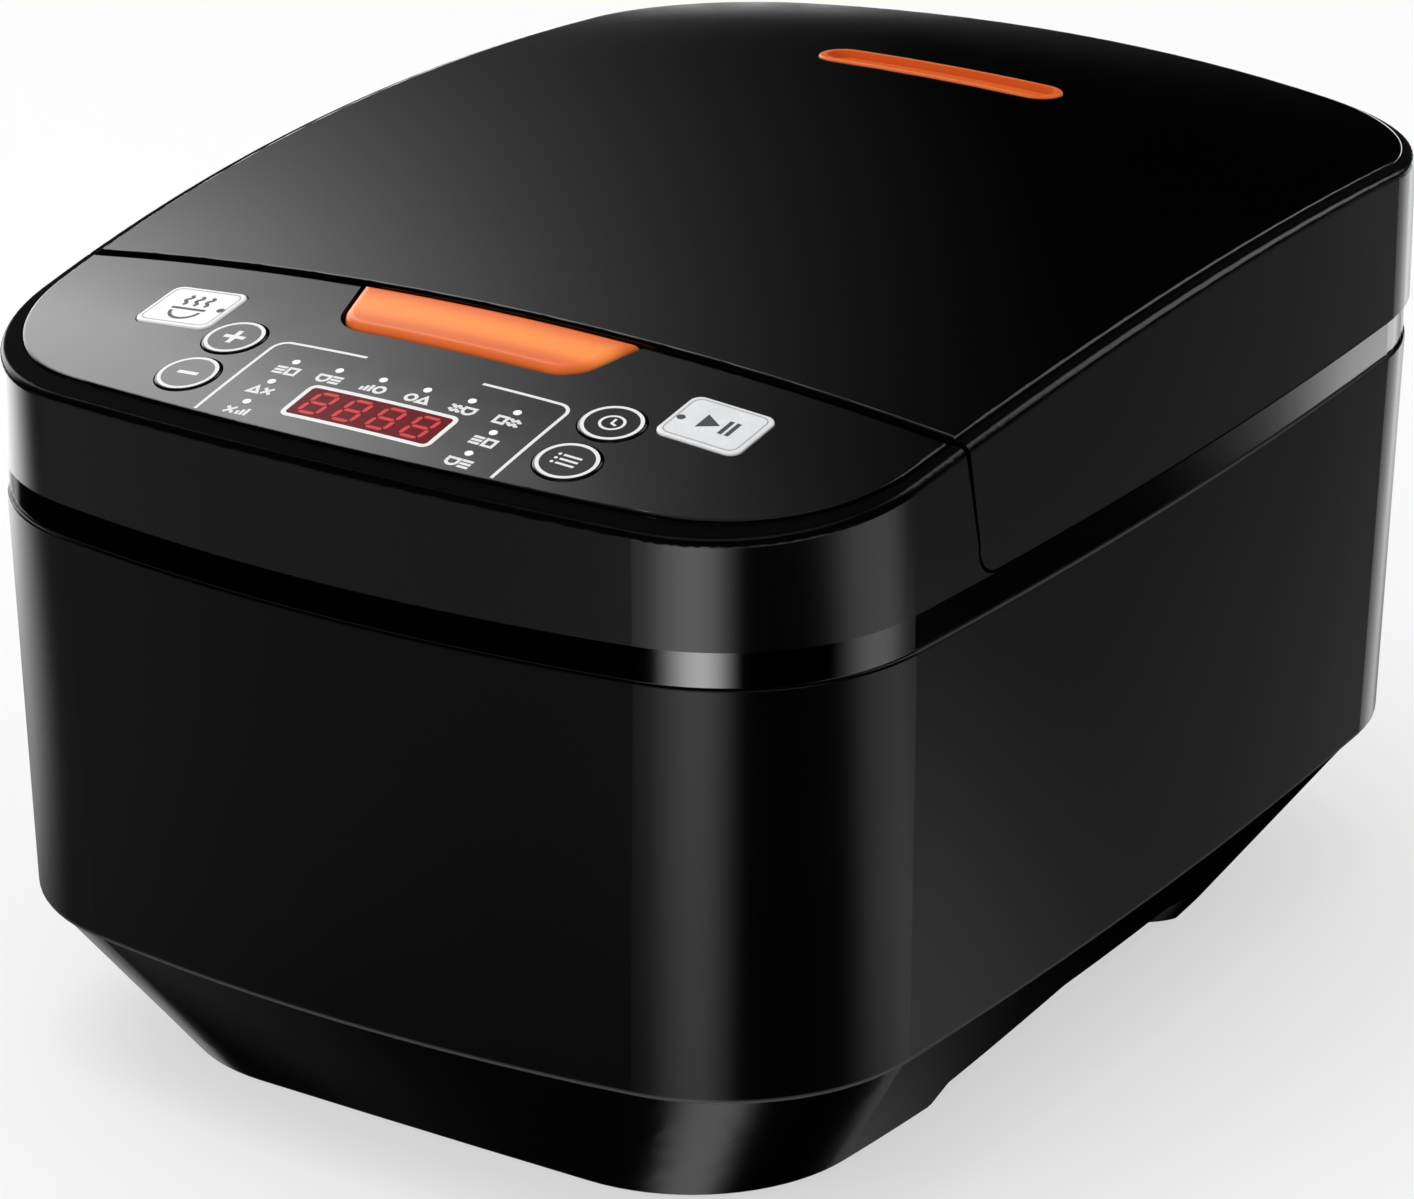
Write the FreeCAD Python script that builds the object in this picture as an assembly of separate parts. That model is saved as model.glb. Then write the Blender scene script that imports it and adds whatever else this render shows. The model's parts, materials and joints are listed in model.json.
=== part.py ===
import FreeCAD, Part
import math
import os
from FreeCAD import Vector

os.makedirs("parts", exist_ok=True)

# A rice cooker in millimetres: X to the right, Y to the rear, Z up, standing on Z 0.

# Plan outlines: half width, front, rear, bows of front, sides and rear, corner radius
UPPER = (137.9, -186.3, 186.3, 19.5, 9.0, 20.0, 57.0)
BODY_TOP = (138.1, -185.2, 184.0, 18.5, 9.0, 20.0, 57.0)
BODY_FOOT = (135.8, -182.2, 180.0, 17.0, 8.8, 20.0, 57.0)
STAND = (105.5, -149.0, 131.0, 1.0, 9.7, 6.0, 49.0)
SHEET = (134.2, -179.3, 183.1, 19.0, 8.8, 19.6, 53.0)

# Heights of the casing
STAND_Z = 0.6
BODY_FOOT_Z = 44.7
BODY_FOOT_R = 1.2
BODY_TOP_Z = 156.9
BODY_TOP_R = 0.8
ROUND_STEPS = 4
BAND_TOP_Z = 166.5
DECK_Z = 166.8
SKIRT_Z = 167.3
APEX_Z = 222.7

# The top of lid and control panel is one shallow dome
DOME_R = 1030.0
DOME_Y = 36.5
DOME_CENTRE = Vector(0, DOME_Y, APEX_Z - DOME_R)
SHOULDER_R = 2.5
LEDGE_DROP = 0.8
LEDGE_T = 4.4
SHEET_T = 2.5
SHEET_EDGE_R = 1.2
SHEET_GAP = 0.15
SHEET_END_GAP = 0.1
SHEET_SEAT = 1.5
WALL = 2.6
BIG = 260.0

# The seam between lid and front housing, leaning back as it goes down
LID_FRONT = -104.4
LID_FRONT_LOW = -98.4
HOUSING_REAR = -106.4
HOUSING_REAR_LOW = -99.3
SEAM_BEND_Z = 206.0
SEAM_LOW_Z = 176.0
SEAM_TOE_Y = -91.0

# Arch between the front and rear feet
ARCH_FRONT = -51.0
ARCH_REAR = 60.0
ARCH_HEIGHT = 22.5
ARCH_STEP_Z = 13.8
ARCH_SLOPE = 27.0
FOOT_SIDE_X = 103.4
FOOT_CORNER_R = 16.0
FOOT_LEAN = 0.664
BASE_STEP = 1.5
LIP_INSET = 2.9
LIP_T = 1.1
LIP_HEIGHT = 7.0
PAD_R = 8.0
PAD_TOP_Z = 1.6
PAD_SPOTS = [(-62, -132), (62, -132), (-58, 112), (58, 112)]
BASE_SLOTS = 9
BASE_SLOT_PITCH = 14.0
BASE_SLOT_WIDTH = 3.6
BASE_SLOT_FRONT = -23.0
BASE_SLOT_REAR = 24.0

# Posts of the upper frame and the screws that come up into them through the base
POST_SPOTS = [(-80, -115), (80, -115), (-86, 116), (86, 116)]
POST_R = 4.5
POST_FOOT_Z = 12.2
BOSS_R = 6.5
SCREW_SEAT_Z = 8.0
SCREW_BORE_R = 4.6
SCREW_HEAD_R = 4.0
SCREW_HEAD_T = 2.8
SCREW_R = 1.9
SCREW_LENGTH = 16.0

# Gaps: between fixed pieces, and round the frame's rim
FIT_GAP = 0.3
RIM_INSET = 3.9
RIM_T = 2.0
BAND_INSET = 0.6
BAND_T = 3.0

# Pot, well and heater
POT_Y = 32.0
POT_R = 108.5
POT_WALL = 1.8
POT_FLANGE_R = 117.0
POT_BOTTOM_Z = 50.0
POT_RIM_Z = 172.1
POT_BEND_R = 26.0
WELL_R = 111.0
WELL_T = 0.8
WELL_FLANGE = 5.5
WELL_FLOOR_Z = 42.0
RING_R = 120.0
RING_Z = 169.2
HEATER_R = 82.0
HEATER_Z = 37.0
HEATER_TOP_Z = 49.7
HEATER_ARM_HALF = 8.0
SENSOR_R = 18.0
SENSOR_TOP_Z = 49.4
SENSOR_FOOT_Z = 33.5
SENSOR_WALL = 2.0
SENSOR_ROOF = 2.4
HOLDER_Z = 27.2
HOLDER_FLOOR_Z = 28.4
SENSOR_SPRING_Z = 28.6
SENSOR_SPRING_R = 12.0

# Hinge at the rear
HINGE_Y = 174.0
HINGE_Z = 176.5
HINGE_PIN_R = 3.0
BARREL_R = 9.0
BARREL_HALF = 54.0
KNUCKLE_R = 8.7
KNUCKLE_INNER = 55.5
KNUCKLE_OUTER = 81.5
END_INNER = 83.0
END_OUTER = 101.0
NOTCH_HALF = 102.0
NOTCH_R = 9.7
HINGE_PIN_HALF = 88.0
HINGE_FIT = 0.06
HINGE_SPRING_R = 6.2
HINGE_SPRING_BORE = 4.2
HINGE_SPRING_LENGTH = 22.0

# Release button and latch
BUTTON_HALF_REAR = 42.0
BUTTON_HALF_FRONT = 35.5
BUTTON_REAR = -107.2
BUTTON_FRONT = -128.0
BUTTON_CORNER = 10.0
BUTTON_GAP = 1.3
BUTTON_RISE = 1.2
PLUNGER_Y = -120.3
PLUNGER_R = 3.0
PLUNGER_TOP_Z = 209.0
PLUNGER_FOOT_Z = 182.0
PLUNGER_TIP_Z = 179.0
PLUNGER_TIP_R = 1.5
BUTTON_FOOT_Z = 198.5
BUTTON_EDGE_R = 2.4
BUTTON_SPRING_R = 4.9
BUTTON_SPRING_BORE = 3.5
BUTTON_SPRING_Z = (192.7, 207.0)
LATCH_Y = -109.0
LATCH_Z = 175.0
LATCH_PIN_R = 2.0
LATCH_FIT = 0.05
LATCH_HALF = 9.0
LATCH_HUB_R = 4.2
LATCH_TOP_Z = 189.0
NOSE_Y = -101.5
NOSE_Z = 185.0
TAIL_Y = -127.5
TAIL_TOP_Z = 178.3
BRACKET_HALF = 15.5
BRACKET_T = 2.5
BRACKET_FRONT = -130.0
BRACKET_REAR = -104.5
BRIDGE_REAR = -112.0
BRIDGE_Z = (190.5, 192.5)
EAR_TOP_Z = 180.0

# Panel keys: name, place, plan size (one size for round keys)
KEY_GAP = 0.35
KEY_RISE = 0.4
KEY_DEPTH = 4.8
KEY_CORNER = 3.2
KEY_EDGE_R = 0.6
KEY_FLANGE = 0.8
KEY_FLANGE_T = 1.2
KEYS = [
    ("key_left_square", -79.7, -131.0, (24.0, 20.2)),
    ("key_right_square", 79.7, -131.0, (24.0, 20.2)),
    ("key_plus", -57.3, -142.4, (17.2,)),
    ("key_minus", -57.3, -161.8, (17.2,)),
    ("key_right_upper", 57.3, -142.4, (17.2,)),
    ("key_right_lower", 57.3, -161.8, (17.2,)),
]
SWITCH_TOP = -6.1

# Display and indicator lights
DISPLAY_Y = -163.8
DISPLAY_SIZE = (43.0, 13.2)
DISPLAY_CORNER = 1.5
DISPLAY_T = 1.6
DISPLAY_FIT = 0.1
LIGHT_FIT = 0.05
LIGHT_R = 1.1
LIGHT_ROW_Y = -148.4
LIGHT_PITCH = 13.4
LIGHT_COLUMN_X = 33.5
LIGHT_COLUMN_Y = (-158.7, -169.0)

# Control board: a flat plate under the panel, parallel to it at mid width
BOARD_Y = -147.0
BOARD_DROP = 16.0
BOARD_T = 1.6

LID_SCREW_SPOTS = [(-116, -72), (116, -72), (-110, 136), (110, 136)]
LID_SCREW_R = 1.4

# Steam vent in the rear of the lid
VENT_Y = 107.0
VENT_LENGTH = 77.0
VENT_WIDTH = 14.5
VENT_GAP = 0.5
VENT_RISE = 0.5
VENT_EDGE_R = 0.9
VENT_RIM = 4.6
VENT_TROUGH = 1.6
VENT_SLOT = 15.0
VENT_SLOT_WIDTH = 1.8
VENT_SLOT_PITCH = 20.0
VENT_SLOT_Y = VENT_Y - 3.2
VALVE_BOTTOM_Z = 192.0
VALVE_TOP_Z = 212.0

# Power inlet in the rear wall
INLET_Z = 95.0
INLET_HALF_X = 14.0
INLET_HALF_Z = 10.0
INLET_DEPTH = 24.0
INLET_FACE_Y = 184.3
INLET_FLANGE = 3.0
INLET_FLANGE_Y = 182.6
INLET_WALL = 2.2
INLET_CHAMFER = 4.0
INLET_PIN_SPOTS = [(-7.0, 2.0), (7.0, 2.0), (0.0, -2.0)]
INLET_PIN_LENGTH = 16.0

# Power board, upright behind the front wall
POWER_BOARD_Y = -129.0
POWER_BOARD_T = 1.6
POWER_BRACKET_T = 2.0
POWER_BRACKET_Z = (4.2, 126.0)

# Underside of the lid
LINER_Z = 174.0
LINER_T = 2.4
LINER_ROOF_Z = 180.6
LINER_ROOF_T = 2.2
INNER_PLATE_R = 110.5
INNER_PLATE_Z = 175.8
INNER_PLATE_T = 1.2
GASKET_R = 116.8
GASKET_BORE = 107.5
GASKET_Z = (172.6, 178.2)
DUCT_R = 10.0
DUCT_BORE = 8.0


def box(x0, x1, y0, y1, z0, z1):
    return Part.makeBox(x1 - x0, y1 - y0, z1 - z0, Vector(x0, y0, z0))


def cylinder(radius, z0, z1, x=0.0, y=0.0):
    return Part.makeCylinder(radius, z1 - z0, Vector(x, y, z0))


def tube(outer, inner, z0, z1, x=0.0, y=0.0):
    return cylinder(outer, z0, z1, x, y).cut(cylinder(inner, z0, z1, x, y))


def rod(radius, x0, x1, y, z):
    """A cylinder along X."""
    return Part.makeCylinder(radius, x1 - x0, Vector(x0, y, z), Vector(1, 0, 0))


def fuse(*shapes):
    return shapes[0].multiFuse(list(shapes[1:])).removeSplitter()


def toward(start, target, length):
    step = target - start
    return start + step * (length / step.Length)


def mirror_x(point):
    return Vector(-point.x, point.y, point.z)


def outline(size, z, inset=0.0):
    """Wire of eight tangent arcs: bowed front, sides and rear with round corners, moved in by inset."""
    half_width, front, rear, bow_front, bow_side, bow_rear, corner = size
    middle = (front + rear) / 2
    half_depth = (rear - front) / 2
    front_r = (half_width ** 2 + bow_front ** 2) / (2 * bow_front)
    rear_r = (half_width ** 2 + bow_rear ** 2) / (2 * bow_rear)
    side_r = (half_depth ** 2 + bow_side ** 2) / (2 * bow_side)
    side_centre = Vector(half_width - side_r, middle, z)

    def corner_arc(end_centre, end_r, sign):
        gap = side_centre - end_centre
        reach = end_r - corner
        along = (gap.Length ** 2 + reach ** 2 - (side_r - corner) ** 2) / (2 * gap.Length)
        across = math.sqrt(reach ** 2 - along ** 2)
        unit = gap / gap.Length
        normal = Vector(-unit.y, unit.x, 0)
        spots = [end_centre + unit * along + normal * across * way for way in (1, -1)]
        centre = max(spots, key=lambda spot: spot.x + sign * spot.y)
        end = toward(end_centre, centre, end_r - inset)
        side = toward(side_centre, centre, side_r - inset)
        return end, toward(centre, (end + side) / 2, corner - inset), side

    front_end, front_mid, front_side = corner_arc(Vector(0, front + front_r, z), front_r, -1)
    rear_end, rear_mid, rear_side = corner_arc(Vector(0, rear - rear_r, z), rear_r, 1)
    arcs = [
        (mirror_x(front_end), Vector(0, front + inset, z), front_end),
        (front_end, front_mid, front_side),
        (front_side, Vector(half_width - inset, middle, z), rear_side),
        (rear_side, rear_mid, rear_end),
        (rear_end, Vector(0, rear - inset, z), mirror_x(rear_end)),
        (mirror_x(rear_end), mirror_x(rear_mid), mirror_x(rear_side)),
        (mirror_x(rear_side), Vector(inset - half_width, middle, z), mirror_x(front_side)),
        (mirror_x(front_side), mirror_x(front_mid), mirror_x(front_end)),
    ]
    return Part.Wire([Part.Arc(*arc).toShape() for arc in arcs])


def loft(*wires):
    """Solid through outlines at rising heights, with straight walls between them."""
    return Part.makeLoft(list(wires), True, True)


def round_rim(size, z, radius, upper):
    """Outlines that carry a wall through a quarter round at its lower or upper edge."""
    wires = []
    for k in range(ROUND_STEPS + 1):
        turn = math.radians(90 * k / ROUND_STEPS)
        if upper:
            wires.append(outline(size, z - radius * (1 - math.sin(turn)), radius * (1 - math.cos(turn))))
        else:
            wires.append(outline(size, z + radius * (1 - math.cos(turn)), radius * (1 - math.sin(turn))))
    return wires


def tower(size, z0, z1, inset=0.0):
    """Upright prism of an outline."""
    return Part.Face(outline(size, z0, inset)).extrude(Vector(0, 0, z1 - z0))


def ball(drop=0.0):
    """Solid under the dome, lowered by drop, with its seam turned to the far side."""
    sphere = Part.makeSphere(DOME_R - drop)
    sphere.rotate(Vector(), Vector(0, 1, 0), 90)
    sphere.translate(DOME_CENTRE)
    return sphere


def profile_x(points, half=BIG):
    """Prism along X of a closed outline in Y and Z; three points in one entry make an arc."""
    edges = []
    last = points[-1][-1] if isinstance(points[-1][0], tuple) else points[-1]
    for entry in points:
        stops = entry if isinstance(entry[0], tuple) else (entry,)
        spots = [Vector(-half, y, z) for y, z in (last,) + tuple(stops)]
        if len(stops) == 1:
            edges.append(Part.LineSegment(spots[0], spots[1]).toShape())
        else:
            edges.append(Part.Arc(*spots).toShape())
        last = stops[-1]
    return Part.Face(Part.Wire(edges)).extrude(Vector(2 * half, 0, 0))


def rounded_box(width, depth, radius, z0, z1):
    """Upright box on the Z axis with round corners."""
    block = box(-width / 2, width / 2, -depth / 2, depth / 2, z0, z1)
    corners = [edge for edge in block.Edges if abs(edge.tangentAt(edge.FirstParameter).z) > 0.9]
    return block.makeFillet(radius, corners)


def stadium(length, width, z0, z1, x=0.0, y=0.0):
    """Upright prism with round ends, long along X."""
    radius = width / 2
    half = length / 2 - radius
    wire = Part.Wire([
        Part.LineSegment(Vector(x - half, y - radius, z0), Vector(x + half, y - radius, z0)).toShape(),
        Part.Arc(Vector(x + half, y - radius, z0), Vector(x + half + radius, y, z0),
                 Vector(x + half, y + radius, z0)).toShape(),
        Part.LineSegment(Vector(x + half, y + radius, z0), Vector(x - half, y + radius, z0)).toShape(),
        Part.Arc(Vector(x - half, y + radius, z0), Vector(x - half - radius, y, z0),
                 Vector(x - half, y - radius, z0)).toShape(),
    ])
    return Part.Face(wire).extrude(Vector(0, 0, z1 - z0))


def revolve(points, y):
    """Solid turned about the upright axis at the given Y, from radius and height points."""
    spots = [Vector(radius, y, z) for radius, z in points]
    face = Part.Face(Part.makePolygon(spots + spots[:1]))
    return face.revolve(Vector(0, y, 0), Vector(0, 0, 1), 360)


def soften(shape, radius, wanted):
    """Round the edges whose centre the wanted test picks."""
    return shape.makeFillet(radius, [edge for edge in shape.Edges if wanted(edge.CenterOfMass)])


def dome_spot(x, y):
    """Placement on the dome above x, y with its Z square to the surface."""
    z = DOME_CENTRE.z + math.sqrt(DOME_R ** 2 - x ** 2 - (y - DOME_Y) ** 2)
    point = Vector(x, y, z)
    return FreeCAD.Placement(point, FreeCAD.Rotation(Vector(0, 0, 1), point - DOME_CENTRE))


def placed(shape, placement):
    copy = shape.copy()
    copy.Placement = placement.multiply(copy.Placement)
    return copy


def copies(shape, spots, z):
    """The same piece at several places, each a solid of its own."""
    return Part.makeCompound([placed(shape, FreeCAD.Placement(Vector(x, y, z), FreeCAD.Rotation()))
                              for x, y in spots])


def edges_along_y(block):
    return [edge for edge in block.Edges if abs(edge.tangentAt(edge.FirstParameter).y) > 0.9]


def save(name, shape):
    solids = shape.Solids
    whole = solids[0] if len(solids) == 1 else Part.makeCompound(solids)
    bounds = whole.BoundBox
    print(f"{name}: {len(solids)} solids, valid {whole.isValid()}, volume {whole.Volume:.0f},"
          f" z {bounds.ZMin:.1f} to {bounds.ZMax:.1f}")
    whole.exportStep(f"parts/{name}.step")


# Zones that split the upper casing into lid and front housing

def lid_zone(back=0.0, bottom=SKIRT_Z):
    front = LID_FRONT + back
    low = LID_FRONT_LOW + back
    toe = ((low + 2.2, SEAM_LOW_Z - 6.4), (SEAM_TOE_Y + back, bottom))
    return profile_x([(front, BIG), (front, SEAM_BEND_Z), (low, SEAM_LOW_Z), toe,
                      (BIG, bottom), (BIG, BIG)])


def housing_zone():
    low = HOUSING_REAR_LOW
    toe = ((low + 2.2, SEAM_LOW_Z - 6.9), (SEAM_TOE_Y, BAND_TOP_Z))
    return profile_x([(HOUSING_REAR, BIG), (HOUSING_REAR, SEAM_BEND_Z), (low, SEAM_LOW_Z - 0.2), toe,
                      (-BIG, BAND_TOP_Z), (-BIG, BIG)])


def upper_block():
    """The whole upper casing as one solid, with its round shoulder and a ledge round the top sheets."""
    block = tower(UPPER, BAND_TOP_Z, BIG).common(ball(LEDGE_DROP)).Solids[0]
    top = max(block.Faces, key=lambda face: face.CenterOfMass.z)
    return block.makeFillet(SHOULDER_R, top.OuterWire.Edges)


def top_sheet(y_low, y_high):
    """The top sheet of lid or control panel, a little proud of the ledge round it."""
    slab = tower(SHEET, BAND_TOP_Z, BIG, SHEET_GAP).common(box(-BIG, BIG, y_low, y_high, 0, BIG))
    slab = slab.common(ball()).cut(ball(SHEET_T)).Solids[0]
    domed = [face for face in slab.Faces if isinstance(face.Surface, Part.Sphere)]
    top = max(domed, key=lambda face: face.CenterOfMass.z)
    return slab.makeFillet(SHEET_EDGE_R, top.OuterWire.Edges)


def sheet_recess():
    return tower(SHEET, BAND_TOP_Z, BIG).cut(ball(SHEET_T))


def button_prism(z0, z1, grow=0.0, rear_grow=0.0):
    """Upright prism of the release button's plan."""
    rear = BUTTON_REAR + max(grow, rear_grow)
    front = BUTTON_FRONT - grow
    slope = (BUTTON_HALF_REAR - BUTTON_HALF_FRONT) / (BUTTON_REAR - BUTTON_FRONT)
    half_rear = BUTTON_HALF_REAR + grow + slope * (rear - BUTTON_REAR)
    half_front = BUTTON_HALF_FRONT + grow + slope * (front - BUTTON_FRONT)
    corners = [Vector(-half_rear, rear, z0), Vector(-half_front, front, z0),
               Vector(half_front, front, z0), Vector(half_rear, rear, z0)]
    block = Part.Face(Part.makePolygon(corners + corners[:1])).extrude(Vector(0, 0, z1 - z0))
    middle = (BUTTON_REAR + BUTTON_FRONT) / 2
    upright = [edge for edge in block.Edges if abs(edge.tangentAt(edge.FirstParameter).z) > 0.9]
    return block.makeFillet(BUTTON_CORNER + grow, [e for e in upright if e.CenterOfMass.y < middle])


def key_plan(size, grow, z0, z1):
    if len(size) == 1:
        return cylinder(size[0] / 2 + grow, z0, z1)
    return rounded_box(size[0] + 2 * grow, size[1] + 2 * grow, KEY_CORNER + grow, z0, z1)


def light_spots():
    row = [((i - 2.5) * LIGHT_PITCH, LIGHT_ROW_Y) for i in range(6)]
    columns = [(side * LIGHT_COLUMN_X, y) for side in (-1, 1) for y in LIGHT_COLUMN_Y]
    return row + columns


# Fixed casing

def outer_shell():
    skin = loft(*round_rim(BODY_FOOT, BODY_FOOT_Z, BODY_FOOT_R, False),
                *round_rim(BODY_TOP, BODY_TOP_Z, BODY_TOP_R, True))
    hollow = loft(outline(BODY_FOOT, BODY_FOOT_Z, WALL), outline(BODY_TOP, BODY_TOP_Z, WALL))
    half_x = INLET_HALF_X + FIT_GAP
    half_z = INLET_HALF_Z + FIT_GAP
    window = box(-half_x, half_x, POT_Y + WELL_R, BIG, INLET_Z - half_z, INLET_Z + half_z)
    return skin.cut(hollow).cut(window)


def decor_band():
    inner = tower(BODY_TOP, BODY_TOP_Z, BAND_TOP_Z, BAND_INSET + BAND_T)
    return tower(BODY_TOP, BODY_TOP_Z, BAND_TOP_Z, BAND_INSET).cut(inner)


def arch_room(grow=0.0):
    """Room between the feet: a sloping roof, and round corners that lean out like the sides."""
    top = ARCH_HEIGHT + grow
    low, high = ARCH_FRONT - FOOT_CORNER_R, ARCH_REAR + FOOT_CORNER_R
    front, rear = ARCH_FRONT - grow, ARCH_REAR + grow
    turn_x = FOOT_SIDE_X - FOOT_CORNER_R
    radius = FOOT_CORNER_R - grow
    bend = radius * math.sqrt(0.5)
    side_x = turn_x + radius
    front_arc = Part.Arc(Vector(turn_x, front), Vector(turn_x + bend, low + bend), Vector(side_x, low))
    rear_arc = Part.Arc(Vector(side_x, high), Vector(turn_x + bend, high - bend), Vector(turn_x, rear))
    outer = Part.makePolygon([Vector(side_x, low), Vector(BIG, low), Vector(BIG, high),
                              Vector(side_x, high)])
    inner = Part.makePolygon([Vector(turn_x, rear), Vector(-turn_x / 2, rear), Vector(-turn_x / 2, front),
                              Vector(turn_x, front)])
    wire = Part.Wire([front_arc.toShape()] + outer.Edges + [rear_arc.toShape()] + inner.Edges)
    half = Part.Face(wire).extrude(Vector(FOOT_LEAN * top, 0, top))
    low_z = ARCH_STEP_Z + grow - FOOT_CORNER_R * (ARCH_HEIGHT - ARCH_STEP_Z) / ARCH_SLOPE
    roof = profile_x([(low, 0), (low, low_z), (ARCH_FRONT + ARCH_SLOPE, top), (ARCH_REAR - ARCH_SLOPE, top),
                      (high, low_z), (high, 0)])
    return fuse(half, half.mirror(Vector(), Vector(1, 0, 0))).common(roof)


def base_cover():
    """Sloping underside with two feet and an arch between, screw bosses, and a lip inside the shell."""
    skin = loft(outline(STAND, STAND_Z), outline(BODY_FOOT, BODY_FOOT_Z, BASE_STEP))
    hollow = loft(outline(STAND, STAND_Z + WALL, WALL), outline(BODY_FOOT, BODY_FOOT_Z, BASE_STEP + WALL))
    skin = skin.cut(arch_room())
    cover = skin.cut(hollow.cut(arch_room(WALL)))
    lip_top = BODY_FOOT_Z + LIP_HEIGHT
    lip = tower(BODY_FOOT, BODY_FOOT_Z, lip_top, LIP_INSET)
    lip = lip.cut(tower(BODY_FOOT, BODY_FOOT_Z, lip_top, LIP_INSET + LIP_T))
    boss_top = POST_FOOT_Z - 0.2
    bosses = [cylinder(BOSS_R, STAND_Z + 0.5, boss_top, x, y).common(skin) for x, y in POST_SPOTS]
    cover = fuse(cover, lip, *bosses)
    for x, y in POST_SPOTS:
        cover = cover.cut(cylinder(SCREW_BORE_R, 0, SCREW_SEAT_Z, x, y))
        cover = cover.cut(cylinder(SCREW_R + FIT_GAP, 0, POST_FOOT_Z, x, y))
    for x, y in PAD_SPOTS:
        cover = cover.cut(cylinder(PAD_R, 0, PAD_TOP_Z, x, y))
    for i in range(BASE_SLOTS):
        left = (i - (BASE_SLOTS - 1) / 2) * BASE_SLOT_PITCH - BASE_SLOT_WIDTH / 2
        cover = cover.cut(box(left, left + BASE_SLOT_WIDTH, BASE_SLOT_FRONT, BASE_SLOT_REAR,
                              ARCH_HEIGHT - 2, ARCH_HEIGHT + 2 * WALL))
    return cover


def foot_pads():
    pad = soften(cylinder(PAD_R, 0, PAD_TOP_Z), 0.6, lambda spot: spot.z < 0.1)
    return copies(pad, PAD_SPOTS, 0)


def cross_screw(head_r, head_t, shank_r, length):
    """A screw pointing up, the underside of its head at Z 0, with a cross recess below."""
    screw = fuse(cylinder(head_r, -head_t, 0), cylinder(shank_r, 0, length))
    arm = head_r * 0.6
    slot = 0.5
    depth = -head_t * 0.4
    cross = fuse(box(-arm, arm, -slot, slot, -head_t, depth), box(-slot, slot, -arm, arm, -head_t, depth))
    return screw.cut(cross)


def base_screws():
    return copies(cross_screw(SCREW_HEAD_R, SCREW_HEAD_T, SCREW_R, SCREW_LENGTH), POST_SPOTS, SCREW_SEAT_Z)


def barrels():
    """Fixed lengths of the hinge barrel on their pedestals, flush with the rear wall."""
    spans = [(-BARREL_HALF, BARREL_HALF), (-END_OUTER, -END_INNER), (END_INNER, END_OUTER)]
    rear_wall = tower(UPPER, 150, BIG, 0.3)
    lengths = []
    for x0, x1 in spans:
        pedestal = box(x0, x1, HINGE_Y - 7.5, HINGE_Y + 3.5, DECK_Z - 0.2, HINGE_Z - 4)
        lengths.append(fuse(rod(BARREL_R, x0, x1, HINGE_Y, HINGE_Z), pedestal).common(rear_wall))
    return lengths


def upper_frame():
    """The deck round the pot, with posts down to the base and the hinge barrel at the rear."""
    deck_low = DECK_Z - 3.3
    rim_low = DECK_Z - 16
    deck = tower(BODY_TOP, deck_low, DECK_Z, RIM_INSET)
    rim = tower(BODY_TOP, rim_low, DECK_Z - 3, RIM_INSET)
    rim = rim.cut(tower(BODY_TOP, rim_low, DECK_Z - 3, RIM_INSET + RIM_T))
    ring = cylinder(RING_R, deck_low, RING_Z, 0, POT_Y)
    posts = [cylinder(POST_R, POST_FOOT_Z, DECK_Z - 3, x, y) for x, y in POST_SPOTS]
    frame = fuse(deck, rim, ring, *posts, *barrels())
    frame = frame.cut(cylinder(WELL_R + WELL_T + 2 * FIT_GAP, 0, BIG, 0, POT_Y))
    frame = frame.cut(rod(HINGE_PIN_R, -HINGE_PIN_HALF, HINGE_PIN_HALF, HINGE_Y, HINGE_Z))
    pocket = HINGE_SPRING_LENGTH + 2
    for left in (-BARREL_HALF, BARREL_HALF - pocket):
        frame = frame.cut(rod(HINGE_SPRING_R + 0.4, left, left + pocket, HINGE_Y, HINGE_Z))
    for x, y in POST_SPOTS:
        frame = frame.cut(cylinder(SCREW_R, POST_FOOT_Z, SCREW_SEAT_Z + SCREW_LENGTH + 2.2, x, y))
    cable_hole = box(-40, 40, -168, -138, deck_low - 1, DECK_Z + 1)
    return frame.cut(cable_hole)


def front_housing(block):
    """Front wall and corners round the control panel, with the wall that faces the lid."""
    shell = block.common(housing_zone()).Solids[0]
    shell = shell.cut(sheet_recess())
    wall_top = HOUSING_REAR - WALL
    wall_low = HOUSING_REAR_LOW - WALL - 0.3
    inside = profile_x([(wall_top, BIG), (wall_top, SEAM_BEND_Z), (wall_low, SEAM_LOW_Z), (wall_low, 150),
                        (-BIG, 150), (-BIG, BIG)])
    narrow = tower(SHEET, 150, BIG, SHEET_SEAT).common(inside).common(ball(SHEET_T))
    wide = tower(UPPER, 150, BIG, WALL).common(inside).common(ball(LEDGE_DROP + LEDGE_T))
    shell = shell.cut(narrow).cut(wide)
    shell = shell.cut(tower(BODY_TOP, 150, DECK_Z, RIM_INSET))
    shell = shell.cut(button_prism(196, BIG, BUTTON_GAP, 20))
    return shell.cut(box(-10.5, 10.5, -112, -95, 183, 193))


def display_prism(grow=0.0):
    width, depth = DISPLAY_SIZE
    prism = rounded_box(width + 2 * grow, depth + 2 * grow, DISPLAY_CORNER + grow, -10, 10)
    return placed(prism, dome_spot(0, DISPLAY_Y))


def control_panel():
    panel = top_sheet(-BIG, HOUSING_REAR - SHEET_END_GAP)
    panel = panel.cut(button_prism(190, BIG, BUTTON_GAP, 20))
    for name, x, y, size in KEYS:
        panel = panel.cut(placed(key_plan(size, KEY_GAP, -10, 10), dome_spot(x, y)))
    panel = panel.cut(display_prism(DISPLAY_FIT))
    for x, y in light_spots():
        panel = panel.cut(placed(cylinder(LIGHT_R + LIGHT_FIT, -10, 10), dome_spot(x, y)))
    return panel


def display_window():
    return display_prism().common(ball()).cut(ball(DISPLAY_T))


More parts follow.
